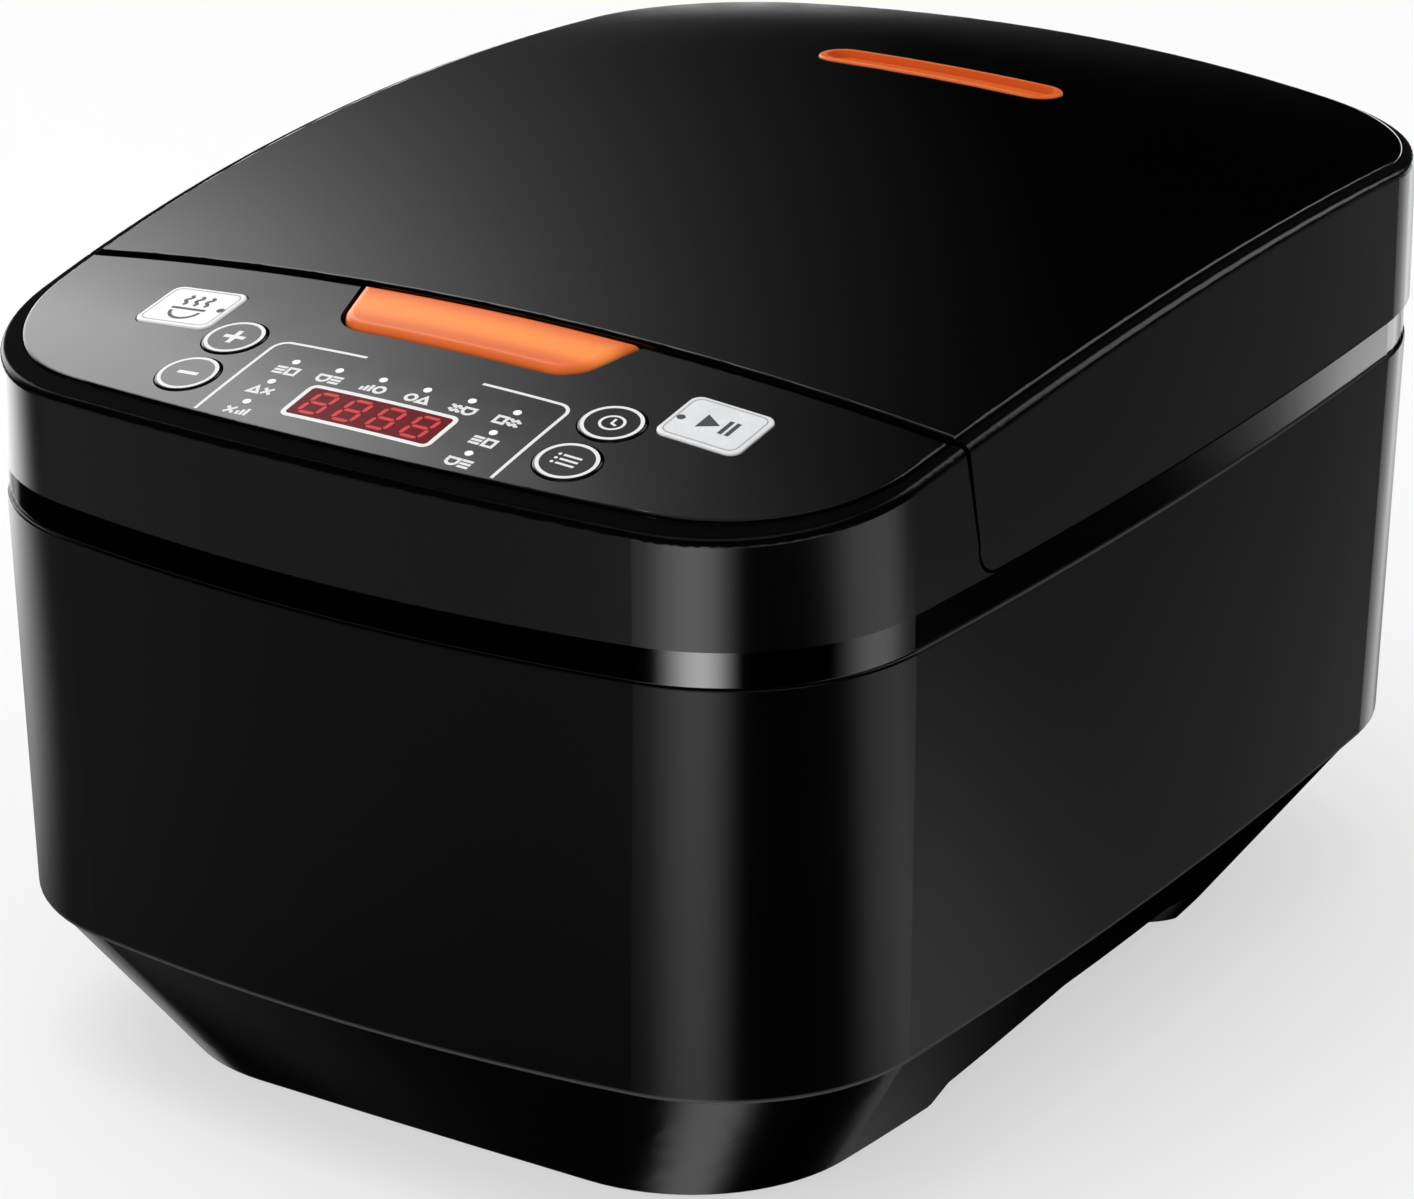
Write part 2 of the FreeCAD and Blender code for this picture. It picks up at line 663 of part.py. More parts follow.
def board_spot(x, y):
    """Placement on the control board's upper face, its Z square to the board."""
    middle = dome_spot(0, BOARD_Y)
    normal = middle.Rotation.multVec(Vector(0, 0, 1))
    base = middle.Base - normal * BOARD_DROP
    z = base.z - (normal.x * (x - base.x) + normal.y * (y - base.y)) / normal.z
    return FreeCAD.Placement(Vector(x, y, z), middle.Rotation)


def display_module():
    spot = board_spot(0, DISPLAY_Y)
    height = BOARD_DROP - 4.2
    return placed(rounded_box(47, 17, 0.6, 0, height), spot)


def control_board():
    """Plate with its front corners cut off and a bay at the rear for the release button."""
    half, front, rear = 94, -167, -118
    bay_half, bay_front = 50, -133
    right = [(half - 16, front), (half, front + 17), (half, rear), (bay_half, rear), (bay_half, bay_front)]
    plan = right + [(-x, y) for x, y in reversed(right)]
    spots = [Vector(x, y - BOARD_Y, -BOARD_T) for x, y in plan]
    plate = Part.Face(Part.makePolygon(spots + spots[:1])).extrude(Vector(0, 0, BOARD_T))
    return placed(plate, board_spot(0, BOARD_Y))


def board_props():
    """Four pillars that carry the control board on the deck."""
    under = placed(box(-BIG, BIG, -BIG, BIG, -BIG, -BOARD_T), board_spot(0, BOARD_Y))
    pillars = [cylinder(3.5, DECK_Z, 220, x, y) for x in (-70, 70) for y in (-125, -158)]
    return Part.makeCompound([pillar.common(under) for pillar in pillars])


def key_switches():
    switches = []
    for name, x, y, size in KEYS:
        spot = board_spot(x, y)
        height = (dome_spot(x, y).Base - spot.Base).dot(spot.Rotation.multVec(Vector(0, 0, 1)))
        switch = fuse(box(-3, 3, -3, 3, 0, 3.5), cylinder(1.7, 3.4, height + SWITCH_TOP))
        switches.append(placed(switch, spot))
    return Part.makeCompound(switches)


def indicator_lights():
    pipe = cylinder(LIGHT_R, -11.5, 0.15)
    return Part.makeCompound([placed(pipe, dome_spot(x, y)) for x, y in light_spots()])


def key_cap(size):
    cap = key_plan(size, 0, -KEY_DEPTH, KEY_RISE)
    cap = soften(cap, KEY_EDGE_R, lambda spot: spot.z > KEY_RISE - 0.01)
    return fuse(cap, key_plan(size, KEY_FLANGE, -KEY_DEPTH, KEY_FLANGE_T - KEY_DEPTH))


# Release button and latch

def release_button():
    cap = button_prism(BUTTON_FOOT_Z, BIG).common(ball(-BUTTON_RISE)).Solids[0]
    top = max(cap.Faces, key=lambda face: face.CenterOfMass.z)
    cap = cap.makeFillet(BUTTON_EDGE_R, top.OuterWire.Edges)
    cap = cap.cut(button_prism(190, BIG, -BUTTON_EDGE_R).common(ball(BUTTON_EDGE_R)))
    plunger = cylinder(PLUNGER_R, PLUNGER_FOOT_Z, PLUNGER_TOP_Z, 0, PLUNGER_Y)
    tip = cylinder(PLUNGER_TIP_R, PLUNGER_TIP_Z, PLUNGER_FOOT_Z + 1, 0, PLUNGER_Y)
    return fuse(cap, plunger, tip)


def latch_bracket():
    bridge_low, bridge_top = BRIDGE_Z
    lefts = (-BRACKET_HALF, BRACKET_HALF - BRACKET_T)
    ears = [box(x, x + BRACKET_T, BRACKET_FRONT, BRACKET_REAR, DECK_Z, EAR_TOP_Z) for x in lefts]
    legs = [box(x, x + BRACKET_T, BRACKET_FRONT, BRIDGE_REAR, EAR_TOP_Z - 2, bridge_top) for x in lefts]
    bridge = box(-BRACKET_HALF, BRACKET_HALF, BRACKET_FRONT, BRIDGE_REAR, bridge_low, bridge_top)
    bracket = fuse(bridge, *ears, *legs)
    bracket = bracket.cut(cylinder(PLUNGER_R + FIT_GAP, EAR_TOP_Z, bridge_top + 2, 0, PLUNGER_Y))
    return bracket.cut(rod(LATCH_PIN_R, -20, 20, LATCH_Y, LATCH_Z))


def latch_hook():
    """Turning hook: its nose reaches for the lid's catch and the plunger pushes its tail down."""
    arm_front, arm_rear = LATCH_Y - 3.6, LATCH_Y - 0.2
    hub = rod(LATCH_HUB_R, -LATCH_HALF, LATCH_HALF, LATCH_Y, LATCH_Z)
    upright = box(-LATCH_HALF, LATCH_HALF, arm_front, arm_rear, LATCH_Z, LATCH_TOP_Z)
    root = arm_rear - 0.6
    tip = NOSE_Z + 1.4
    nose = profile_x([(root, NOSE_Z), (NOSE_Y, NOSE_Z), (NOSE_Y, tip), (root, LATCH_TOP_Z)], LATCH_HALF)
    tail = box(-LATCH_HALF, LATCH_HALF, TAIL_Y, LATCH_Y, LATCH_Z, TAIL_TOP_Z)
    hook = fuse(hub, upright, nose, tail)
    return hook.cut(rod(LATCH_PIN_R + LATCH_FIT, -20, 20, LATCH_Y, LATCH_Z))


# Pot, heater and sensor

def inner_pot():
    flange_low = POT_RIM_Z - POT_WALL
    floor = POT_BOTTOM_Z + POT_WALL
    outer = revolve([(0, POT_BOTTOM_Z), (POT_R, POT_BOTTOM_Z), (POT_R, flange_low),
                     (POT_FLANGE_R, flange_low), (POT_FLANGE_R, POT_RIM_Z), (0, POT_RIM_Z)], POT_Y)
    outer = soften(outer, POT_BEND_R, lambda spot: spot.z < POT_BOTTOM_Z + 0.1)
    inside = cylinder(POT_R - POT_WALL, floor, BIG, 0, POT_Y)
    inside = soften(inside, POT_BEND_R - POT_WALL, lambda spot: spot.z < floor + 0.1)
    return soften(outer.cut(inside), 0.7, lambda spot: spot.z > POT_RIM_Z - 0.01)


def pot_well():
    top = RING_Z + WELL_T
    wall = tube(WELL_R + WELL_T, WELL_R, WELL_FLOOR_Z, top, 0, POT_Y)
    floor = tube(WELL_R + WELL_T, HEATER_R + 2, WELL_FLOOR_Z, WELL_FLOOR_Z + WELL_T, 0, POT_Y)
    flange = tube(WELL_R + WELL_FLANGE, WELL_R, RING_Z, top, 0, POT_Y)
    return fuse(wall, floor, flange)


def heating_plate():
    plate = cylinder(HEATER_R, HEATER_Z, HEATER_TOP_Z, 0, POT_Y)
    plate = soften(plate, 4.0, lambda spot: spot.z > HEATER_TOP_Z - 0.1)
    return plate.cut(cylinder(SENSOR_R + 1.5, 0, BIG, 0, POT_Y))


def heater_brackets():
    """Three angles that hang the heating plate from the floor of the well."""
    outer = HEATER_R + 5
    low = HEATER_Z - 2
    foot = box(HEATER_R - 12, outer, -HEATER_ARM_HALF, HEATER_ARM_HALF, low, HEATER_Z)
    riser = box(outer - 2.4, outer, -HEATER_ARM_HALF, HEATER_ARM_HALF, low, WELL_FLOOR_Z)
    arm = fuse(foot, riser)
    place = Vector(0, POT_Y, 0)
    turns = [FreeCAD.Rotation(Vector(0, 0, 1), turn) for turn in (90, 210, 330)]
    return Part.makeCompound([placed(arm, FreeCAD.Placement(place, turn)) for turn in turns])


def temperature_sensor():
    cap = cylinder(SENSOR_R, SENSOR_FOOT_Z, SENSOR_TOP_Z, 0, POT_Y)
    cap = soften(cap, 1.5, lambda spot: spot.z > SENSOR_TOP_Z - 0.1)
    return cap.cut(cylinder(SENSOR_R - SENSOR_WALL, 0, SENSOR_TOP_Z - SENSOR_ROOF, 0, POT_Y))


def sensor_holder():
    cup = cylinder(SENSOR_R + 4, HOLDER_Z, HEATER_Z, 0, POT_Y)
    cup = cup.cut(cylinder(SENSOR_R + 2 * FIT_GAP, HOLDER_FLOOR_Z, HEATER_Z, 0, POT_Y))
    return cup.cut(cylinder(5, 0, HEATER_Z, 0, POT_Y))


def sensor_spring():
    top = SENSOR_TOP_Z - SENSOR_ROOF - 0.2
    return tube(SENSOR_SPRING_R, SENSOR_SPRING_R - 2.5, SENSOR_SPRING_Z, top, 0, POT_Y)


# Electrical pieces

def power_inlet():
    """Socket let into the rear wall, with two corners cut off its recess."""
    wide = INLET_HALF_X + INLET_FLANGE
    tall = INLET_HALF_Z + INLET_FLANGE
    flange = box(-wide, wide, INLET_FLANGE_Y, INLET_FACE_Y, INLET_Z - tall, INLET_Z + tall)
    flange = flange.makeFillet(2.5, edges_along_y(flange))
    floor_y = INLET_FACE_Y - INLET_DEPTH
    low = INLET_Z - INLET_HALF_Z
    high = INLET_Z + INLET_HALF_Z
    case = box(-INLET_HALF_X, INLET_HALF_X, floor_y - 2, INLET_FACE_Y - 0.8, low, high)
    half = INLET_HALF_X - INLET_WALL
    recess = box(-half, half, floor_y, BIG, low + INLET_WALL, high - INLET_WALL)
    upper = [edge for edge in edges_along_y(recess) if edge.CenterOfMass.z > INLET_Z]
    return fuse(flange, case).cut(recess.makeChamfer(INLET_CHAMFER, upper))


def inlet_pins():
    low = INLET_FACE_Y - INLET_DEPTH
    high = low + INLET_PIN_LENGTH
    return Part.makeCompound([box(x - 1, x + 1, low, high, INLET_Z + z - 2, INLET_Z + z + 2)
                              for x, z in INLET_PIN_SPOTS])


def power_board_bracket():
    """Upright sheet with a foot on the floor of the base."""
    front = POWER_BOARD_Y - POWER_BRACKET_T
    low, high = POWER_BRACKET_Z
    sheet = box(-60, 60, front, POWER_BOARD_Y, low, high)
    return fuse(sheet, box(-60, 60, front, -112, low, low + POWER_BRACKET_T))


def power_board():
    return box(-75, 75, POWER_BOARD_Y, POWER_BOARD_Y + POWER_BOARD_T, 45, 124)


def power_board_parts():
    """Plain blocks for the transformer, relay, capacitor, cooling fin and connector."""
    face = POWER_BOARD_Y + POWER_BOARD_T
    transformer = box(-62, -30, face, -101, 52, 80)
    relay = box(-18, 4, face, -111, 54, 70)
    capacitor = Part.makeCylinder(8, 22, Vector(28, face, 66), Vector(0, 1, 0))
    fin = box(46, 66, face, -107, 56, 96)
    connector = box(-60, -34, face, -118, 92, 112)
    return Part.makeCompound([transformer, relay, capacitor, fin, connector])


# Hinge

def hinge_pin():
    return rod(HINGE_PIN_R, -HINGE_PIN_HALF, HINGE_PIN_HALF, HINGE_Y, HINGE_Z)


def hinge_springs():
    springs = []
    for left in (1 - BARREL_HALF, BARREL_HALF - 1 - HINGE_SPRING_LENGTH):
        right = left + HINGE_SPRING_LENGTH
        sleeve = rod(HINGE_SPRING_R, left, right, HINGE_Y, HINGE_Z)
        springs.append(sleeve.cut(rod(HINGE_SPRING_BORE, left, right, HINGE_Y, HINGE_Z)))
    return Part.makeCompound(springs)


# Lid

def hinge_notch(half, radius):
    """Room in the lid's rear edge for the barrel, open to the rear and below."""
    return fuse(rod(radius, -half, half, HINGE_Y, HINGE_Z),
                box(-half, half, HINGE_Y - radius, BIG, 150, HINGE_Z),
                box(-half, half, HINGE_Y, BIG, 150, HINGE_Z + radius))


def lid_shell(block):
    shell = block.common(lid_zone()).Solids[0]
    shell = shell.cut(sheet_recess())
    inside = tower(UPPER, 150, BIG, WALL + 0.2).common(ball(LEDGE_DROP + LEDGE_T))
    shell = shell.cut(inside.common(lid_zone(WALL, 150)))
    shell = shell.cut(hinge_notch(NOTCH_HALF, NOTCH_R))
    shell = shell.cut(stadium(VENT_LENGTH + 2 * VENT_GAP, VENT_WIDTH + 2 * VENT_GAP, 190, BIG, 0, VENT_Y))
    return shell.cut(box(-13, 13, -110, -90, 179, 192))


def lid_top_panel():
    panel = top_sheet(LID_FRONT + SHEET_END_GAP, BIG)
    return panel.cut(stadium(VENT_LENGTH + 2 * VENT_GAP, VENT_WIDTH + 2 * VENT_GAP, 190, BIG, 0, VENT_Y))


def lid_liner():
    """Underside of the lid: a plate with a round pan over the pot and two hinge knuckles."""
    high = LINER_Z + LINER_T
    plate = tower(UPPER, LINER_Z, high, WALL + 0.5).common(box(-BIG, BIG, LID_FRONT_LOW + 4.0, BIG, 0, BIG))
    pan = cylinder(RING_R, LINER_Z, LINER_ROOF_Z, 0, POT_Y)
    room = cylinder(RING_R - LINER_T, LINER_Z, LINER_ROOF_Z - LINER_ROOF_T, 0, POT_Y)
    liner = fuse(plate, pan).cut(room).cut(hinge_notch(NOTCH_HALF, NOTCH_R))
    for left in (-KNUCKLE_OUTER, KNUCKLE_INNER):
        right = left + KNUCKLE_OUTER - KNUCKLE_INNER
        knuckle = rod(KNUCKLE_R, left, right, HINGE_Y, HINGE_Z).common(tower(UPPER, 150, BIG, FIT_GAP))
        web = box(left, right, HINGE_Y - 14, HINGE_Y, LINER_Z, high + 4)
        liner = fuse(liner, knuckle, web)
    stud = cylinder(6, INNER_PLATE_Z + INNER_PLATE_T + 0.2, LINER_ROOF_Z - 2, 0, POT_Y)
    liner = fuse(liner, stud)
    liner = liner.cut(rod(HINGE_PIN_R + HINGE_FIT, -NOTCH_HALF, NOTCH_HALF, HINGE_Y, HINGE_Z))
    for x, y in LID_SCREW_SPOTS:
        liner = liner.cut(cylinder(LID_SCREW_R, 0, BIG, x, y))
    return liner.cut(cylinder(DUCT_BORE, 0, BIG, 0, VENT_Y))


def inner_lid_plate():
    """Round plate over the pot with a steam hole and a ring of small holes."""
    plate = cylinder(INNER_PLATE_R, INNER_PLATE_Z, INNER_PLATE_Z + INNER_PLATE_T, 0, POT_Y)
    plate = plate.cut(cylinder(6, 0, BIG, 0, VENT_Y))
    ring_r = 24
    for i in range(6):
        turn = math.radians(60 * i + 30)
        plate = plate.cut(cylinder(1.5, 0, BIG, ring_r * math.cos(turn), POT_Y + ring_r * math.sin(turn)))
    return plate


def lid_gasket():
    ring = tube(GASKET_R, GASKET_BORE, *GASKET_Z, 0, POT_Y)
    low = INNER_PLATE_Z - 0.1
    high = INNER_PLATE_Z + INNER_PLATE_T + 0.1
    return ring.cut(tube(INNER_PLATE_R + 0.1, GASKET_BORE - 5, low, high, 0, POT_Y))


def lid_catch():
    """Steel angle behind the lid's front wall, with a ledge for the latch."""
    back = box(-15, 15, -95.6, -94.1, 177, 194)
    ledge = box(-12, 12, -99.3, -95, 180, 184)
    return fuse(back, ledge)


def steam_duct():
    return tube(DUCT_R, DUCT_BORE, LINER_ROOF_Z, VALVE_BOTTOM_Z - 2 * FIT_GAP, 0, VENT_Y)


def lid_screws():
    return copies(cross_screw(3.2, 1.2, LID_SCREW_R, 9), LID_SCREW_SPOTS, LINER_Z)


# Steam valve

def steam_vent_cap():
    """Pill-shaped cap with a raised rim and three steam slots under the front of its trough."""
    cap = stadium(VENT_LENGTH, VENT_WIDTH, VALVE_TOP_Z, BIG, 0, VENT_Y).common(ball(-VENT_RISE)).Solids[0]
    top = max(cap.Faces, key=lambda face: face.CenterOfMass.z)
    cap = cap.makeFillet(VENT_EDGE_R, top.OuterWire.Edges)
    trough = stadium(VENT_LENGTH - VENT_RIM, VENT_WIDTH - VENT_RIM, 200, BIG, 0, VENT_Y)
    cap = cap.cut(trough.cut(ball(VENT_TROUGH)))
    for x in (-VENT_SLOT_PITCH, 0, VENT_SLOT_PITCH):
        cap = cap.cut(stadium(VENT_SLOT, VENT_SLOT_WIDTH, 200, BIG, x, VENT_SLOT_Y))
    return cap


def steam_valve_box():
    half_x, half_y, wall = 30, 5.5, 1.6
    case = box(-half_x, half_x, VENT_Y - half_y, VENT_Y + half_y, VALVE_BOTTOM_Z, VALVE_TOP_Z)
    room_x, room_y = half_x - wall, half_y - wall
    room = box(-room_x, room_x, VENT_Y - room_y, VENT_Y + room_y, VALVE_BOTTOM_Z + wall, VALVE_TOP_Z)
    return case.cut(room).cut(cylinder(3.5, 0, VALVE_BOTTOM_Z + wall, 0, VENT_Y))


upper = upper_block()
PIECES = {
    "outer_shell": outer_shell(),
    "decor_band": decor_band(),
    "base_cover": base_cover(),
    "foot_pads": foot_pads(),
    "base_screws": base_screws(),
    "upper_frame": upper_frame(),
    "front_housing": front_housing(upper),
    "control_panel": control_panel(),
    "display_window": display_window(),
    "display_module": display_module(),
    "indicator_lights": indicator_lights(),
    "control_board": control_board(),
    "board_props": board_props(),
    "key_switches": key_switches(),
    "latch_bracket": latch_bracket(),
    "latch_pin": rod(LATCH_PIN_R, -BRACKET_HALF, BRACKET_HALF, LATCH_Y, LATCH_Z),
    "button_spring": tube(BUTTON_SPRING_R, BUTTON_SPRING_BORE, *BUTTON_SPRING_Z, 0, PLUNGER_Y),
    "power_board_bracket": power_board_bracket(),
    "power_board": power_board(),
    "power_board_parts": power_board_parts(),
    "pot_well": pot_well(),
    "heating_plate": heating_plate(),
    "heater_brackets": heater_brackets(),
    "sensor_holder": sensor_holder(),
    "sensor_spring": sensor_spring(),
    "power_inlet": power_inlet(),
    "inlet_pins": inlet_pins(),
    "hinge_pin": hinge_pin(),
    "hinge_springs": hinge_springs(),
    "lid_shell": lid_shell(upper),
    "lid_top_panel": lid_top_panel(),
    "lid_liner": lid_liner(),
    "inner_lid_plate": inner_lid_plate(),
    "lid_gasket": lid_gasket(),
    "lid_catch": lid_catch(),
    "steam_duct": steam_duct(),
    "lid_screws": lid_screws(),
    "steam_vent_cap": steam_vent_cap(),
    "steam_valve_box": steam_valve_box(),
    "release_button": release_button(),
    "latch_hook": latch_hook(),
    "temperature_sensor": temperature_sensor(),
    "inner_pot": inner_pot(),
}
for name, x, y, size in KEYS:
    PIECES[name] = placed(key_cap(size), dome_spot(x, y))

for name, shape in PIECES.items():
    save(name, shape)
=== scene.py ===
import json
import math

import bmesh
import bpy
from bpy.props import FloatProperty, FloatVectorProperty, PointerProperty
from mathutils import Euler, Matrix, Vector


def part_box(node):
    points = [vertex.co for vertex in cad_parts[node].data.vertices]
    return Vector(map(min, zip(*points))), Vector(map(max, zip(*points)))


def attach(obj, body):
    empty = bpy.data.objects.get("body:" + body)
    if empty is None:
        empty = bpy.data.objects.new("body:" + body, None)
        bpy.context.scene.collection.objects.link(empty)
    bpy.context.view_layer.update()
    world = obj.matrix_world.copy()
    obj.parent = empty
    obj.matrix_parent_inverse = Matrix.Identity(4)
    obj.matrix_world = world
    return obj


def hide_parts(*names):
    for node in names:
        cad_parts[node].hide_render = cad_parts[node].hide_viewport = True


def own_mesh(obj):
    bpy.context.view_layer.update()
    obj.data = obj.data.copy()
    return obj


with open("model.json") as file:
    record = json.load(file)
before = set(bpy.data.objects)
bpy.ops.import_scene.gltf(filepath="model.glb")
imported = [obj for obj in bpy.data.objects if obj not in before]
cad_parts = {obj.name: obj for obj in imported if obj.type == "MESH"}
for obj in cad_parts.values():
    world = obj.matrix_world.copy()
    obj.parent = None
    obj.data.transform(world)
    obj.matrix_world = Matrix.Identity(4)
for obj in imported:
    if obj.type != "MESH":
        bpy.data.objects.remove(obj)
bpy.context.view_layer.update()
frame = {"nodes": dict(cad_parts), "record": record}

bl_info = {
    "name": "Rice cooker finish",
    "version": (1, 0, 0),
    "blender": (4, 5, 0),
    "location": "View3D > Sidebar > Cooker",
    "description": "Finishes, printed marks and studio for the rice cooker",
    "category": "Object",
}

NODES = frame["nodes"]
MM = 0.001

# The top of lid and panel is one shallow dome
DOME_R = 1.030
DOME_Y = 0.0365
DOME_TOP = 0.2227
DOME_CENTRE = Vector((0, DOME_Y, DOME_TOP - DOME_R))
POT_LOW, POT_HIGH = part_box("inner_pot")
POT_Y = (POT_LOW.y + POT_HIGH.y) / 2

# Places on the panel and the keys, in millimetres
ROUND_KEYS = {
    "key_plus": (-57.3, -142.4), "key_minus": (-57.3, -161.8),
    "key_right_upper": (57.3, -142.4), "key_right_lower": (57.3, -161.8),
}
SQUARE_KEYS = {"key_left_square": (-79.7, -131.0), "key_right_square": (79.7, -131.0)}
KEY_RISE = 0.4
FRAME_HALF = 44.6
FRAME_GAP = 17.6
FRAME_REAR = -140.2
FRAME_FRONT = -175.7
FRAME_CORNER = 3.8
DISPLAY_Y = -163.8
DISPLAY_HALF_X = 21.9
DISPLAY_HALF_Y = 7.0
DISPLAY_CORNER = 1.8
LIGHT_ROW = [((i - 2.5) * 13.4, -148.4) for i in range(6)]
LIGHT_COLUMNS = [(side * 33.5, y) for side in (-1, 1) for y in (-158.7, -169.0)]

# How deep the foot of a printed mark is let into what carries it, in metres
PRINT_SINK = 0.00003

WHITE = (1.0, 1.0, 1.0)
# Lighter orange of the painted highlight along the middle of the release button
CROWN_PAINTED_HIGHLIGHT = (0.95, 0.26, 0.052)
# Grey of the painted highlight along the shell's lower lip
LIP_PAINTED_HIGHLIGHT = (0.065, 0.065, 0.066)
# Heights above the shell's lower edge between which the painted highlight on its lip fades
LIP_HIGHLIGHT_FADE = (0.0007, 0.0018)
# Upward part of a surface's direction between which a ledge turns matt
LEDGE_FADE = (0.74, 0.9)
# How far the band's surface is turned down
BAND_LEAN = 0.2
# How much lighter moulded plastic is in its hazy patches
HAZE = 1.35


class CookerSizes(bpy.types.PropertyGroup):
    """Sizes of the printed marks."""
    print_lift: FloatProperty(name="Print lift", description="Height of printed marks over the panel",
                              default=0.00003, unit="LENGTH", precision=6)
    frame_line: FloatProperty(name="Frame line", description="Width of the frame lines on the panel",
                              default=0.00095, unit="LENGTH", precision=5)
    display_line: FloatProperty(name="Display line", description="Width of the outline round the display",
                                default=0.0013, unit="LENGTH", precision=5)
    key_ring: FloatProperty(name="Key ring", description="Width of the light ring on a round key",
                            default=0.0010, unit="LENGTH", precision=5)
    mark_stroke: FloatProperty(name="Mark stroke", description="Stroke width of the small marks",
                               default=0.00092, unit="LENGTH", precision=5)
    digit_height: FloatProperty(name="Digit height", description="Height of a display digit",
                                default=0.0092, unit="LENGTH", precision=5)


class CookerColours(bpy.types.PropertyGroup):
    """Colours of the finishes."""
    shell: FloatVectorProperty(name="Shell", description="Black of the outer shell", subtype="COLOR",
                               default=(0.0007, 0.0007, 0.0008))
    panel: FloatVectorProperty(name="Panel", description="Black of lid and panel sheets", subtype="COLOR",
                               default=(0.0007, 0.0007, 0.0008))
    base: FloatVectorProperty(name="Base", description="Black of the base", subtype="COLOR",
                              default=(0.0008, 0.0008, 0.0009))
    orange: FloatVectorProperty(name="Orange", description="Button and steam cap", subtype="COLOR",
                                default=(0.72, 0.135, 0.024))
    print_white: FloatVectorProperty(name="Print", description="White of printed marks", subtype="COLOR",
                                     default=(0.78, 0.78, 0.77))
    key_white: FloatVectorProperty(name="White keys", description="Silvery caps of the square keys",
                                   subtype="COLOR", default=(0.72, 0.73, 0.74))
    display: FloatVectorProperty(name="Display", description="Tint of the display window", subtype="COLOR",
                                 default=(0.085, 0.0015, 0.004))
    digits: FloatVectorProperty(name="Digits", description="Colour of the display digits", subtype="COLOR",
                                default=(0.45, 0.008, 0.016))


class CookerStage(bpy.types.PropertyGroup):
    """Camera and light."""
    lens: FloatProperty(name="Lens", description="Focal length", default=150.74, unit="CAMERA")
    azimuth: FloatProperty(name="Azimuth", description="Camera's turn to the right", subtype="ANGLE",
                           default=math.radians(33.0747))
    elevation: FloatProperty(name="Elevation", description="Camera's tilt downwards", subtype="ANGLE",
                             default=math.radians(22.1883))
    roll: FloatProperty(name="Roll", description="Camera's roll", subtype="ANGLE",
                        default=math.radians(-0.1496))
    camera_at: FloatVectorProperty(name="Camera", description="Place of the camera", subtype="TRANSLATION",
                                   default=(0.8101, -1.2565, 0.7078))
    key_power: FloatProperty(name="Key light", description="Power of the overhead light", default=15.0,
                             unit="POWER")
    fill_power: FloatProperty(name="Fill light", description="Power of the front light", default=8.0,
                              unit="POWER")
    soft_light: FloatVectorProperty(name="Soft light", description="Even light from all round",
                                    subtype="COLOR", default=(0.82, 0.82, 0.82))
    floor: FloatVectorProperty(name="Floor", description="Pale floor", subtype="COLOR",
                               default=(0.90, 0.90, 0.90))
    floor_white: FloatProperty(name="Floor white", description="Share of plain white over the floor",
                               subtype="FACTOR", default=0.55, min=0.0, max=1.0)


class Tone:
    """A number on a shader socket. Python's operators add the Math nodes."""

    def __init__(self, finish, socket):
        self.finish = finish
        self.socket = socket

    def math(self, operation, *terms):
        return self.finish.node("ShaderNodeMath", {"operation": operation}, dict(enumerate(terms)))

    def __add__(self, other):
        return self.math("ADD", self, other)

    __radd__ = __add__

    def __sub__(self, other):
        return self.math("SUBTRACT", self, other)

    def __rsub__(self, other):
        return self.math("SUBTRACT", other, self)

    def __mul__(self, other):
        return self.math("MULTIPLY", self, other)

    __rmul__ = __mul__

    def __truediv__(self, other):
        return self.math("DIVIDE", self, other)

    def __rtruediv__(self, other):
        return self.math("DIVIDE", other, self)

    def __pow__(self, other):
        return self.math("POWER", self, other)

    def __rpow__(self, other):
        return self.math("POWER", other, self)

    def ramp(self, low, high, first=0.0, last=1.0):
        """Smooth step from first, where this is low, to last, where it is high."""
        return self.finish.node("ShaderNodeMapRange", {"interpolation_type": "SMOOTHSTEP", "clamp": True},
                                {0: self, 1: low, 2: high, 3: first, 4: last})

    def band(self, start, full, fade, end):
        """One from full to fade, and nothing before start or after end."""
        return self.ramp(start, full) * self.ramp(fade, end, 1.0, 0.0)


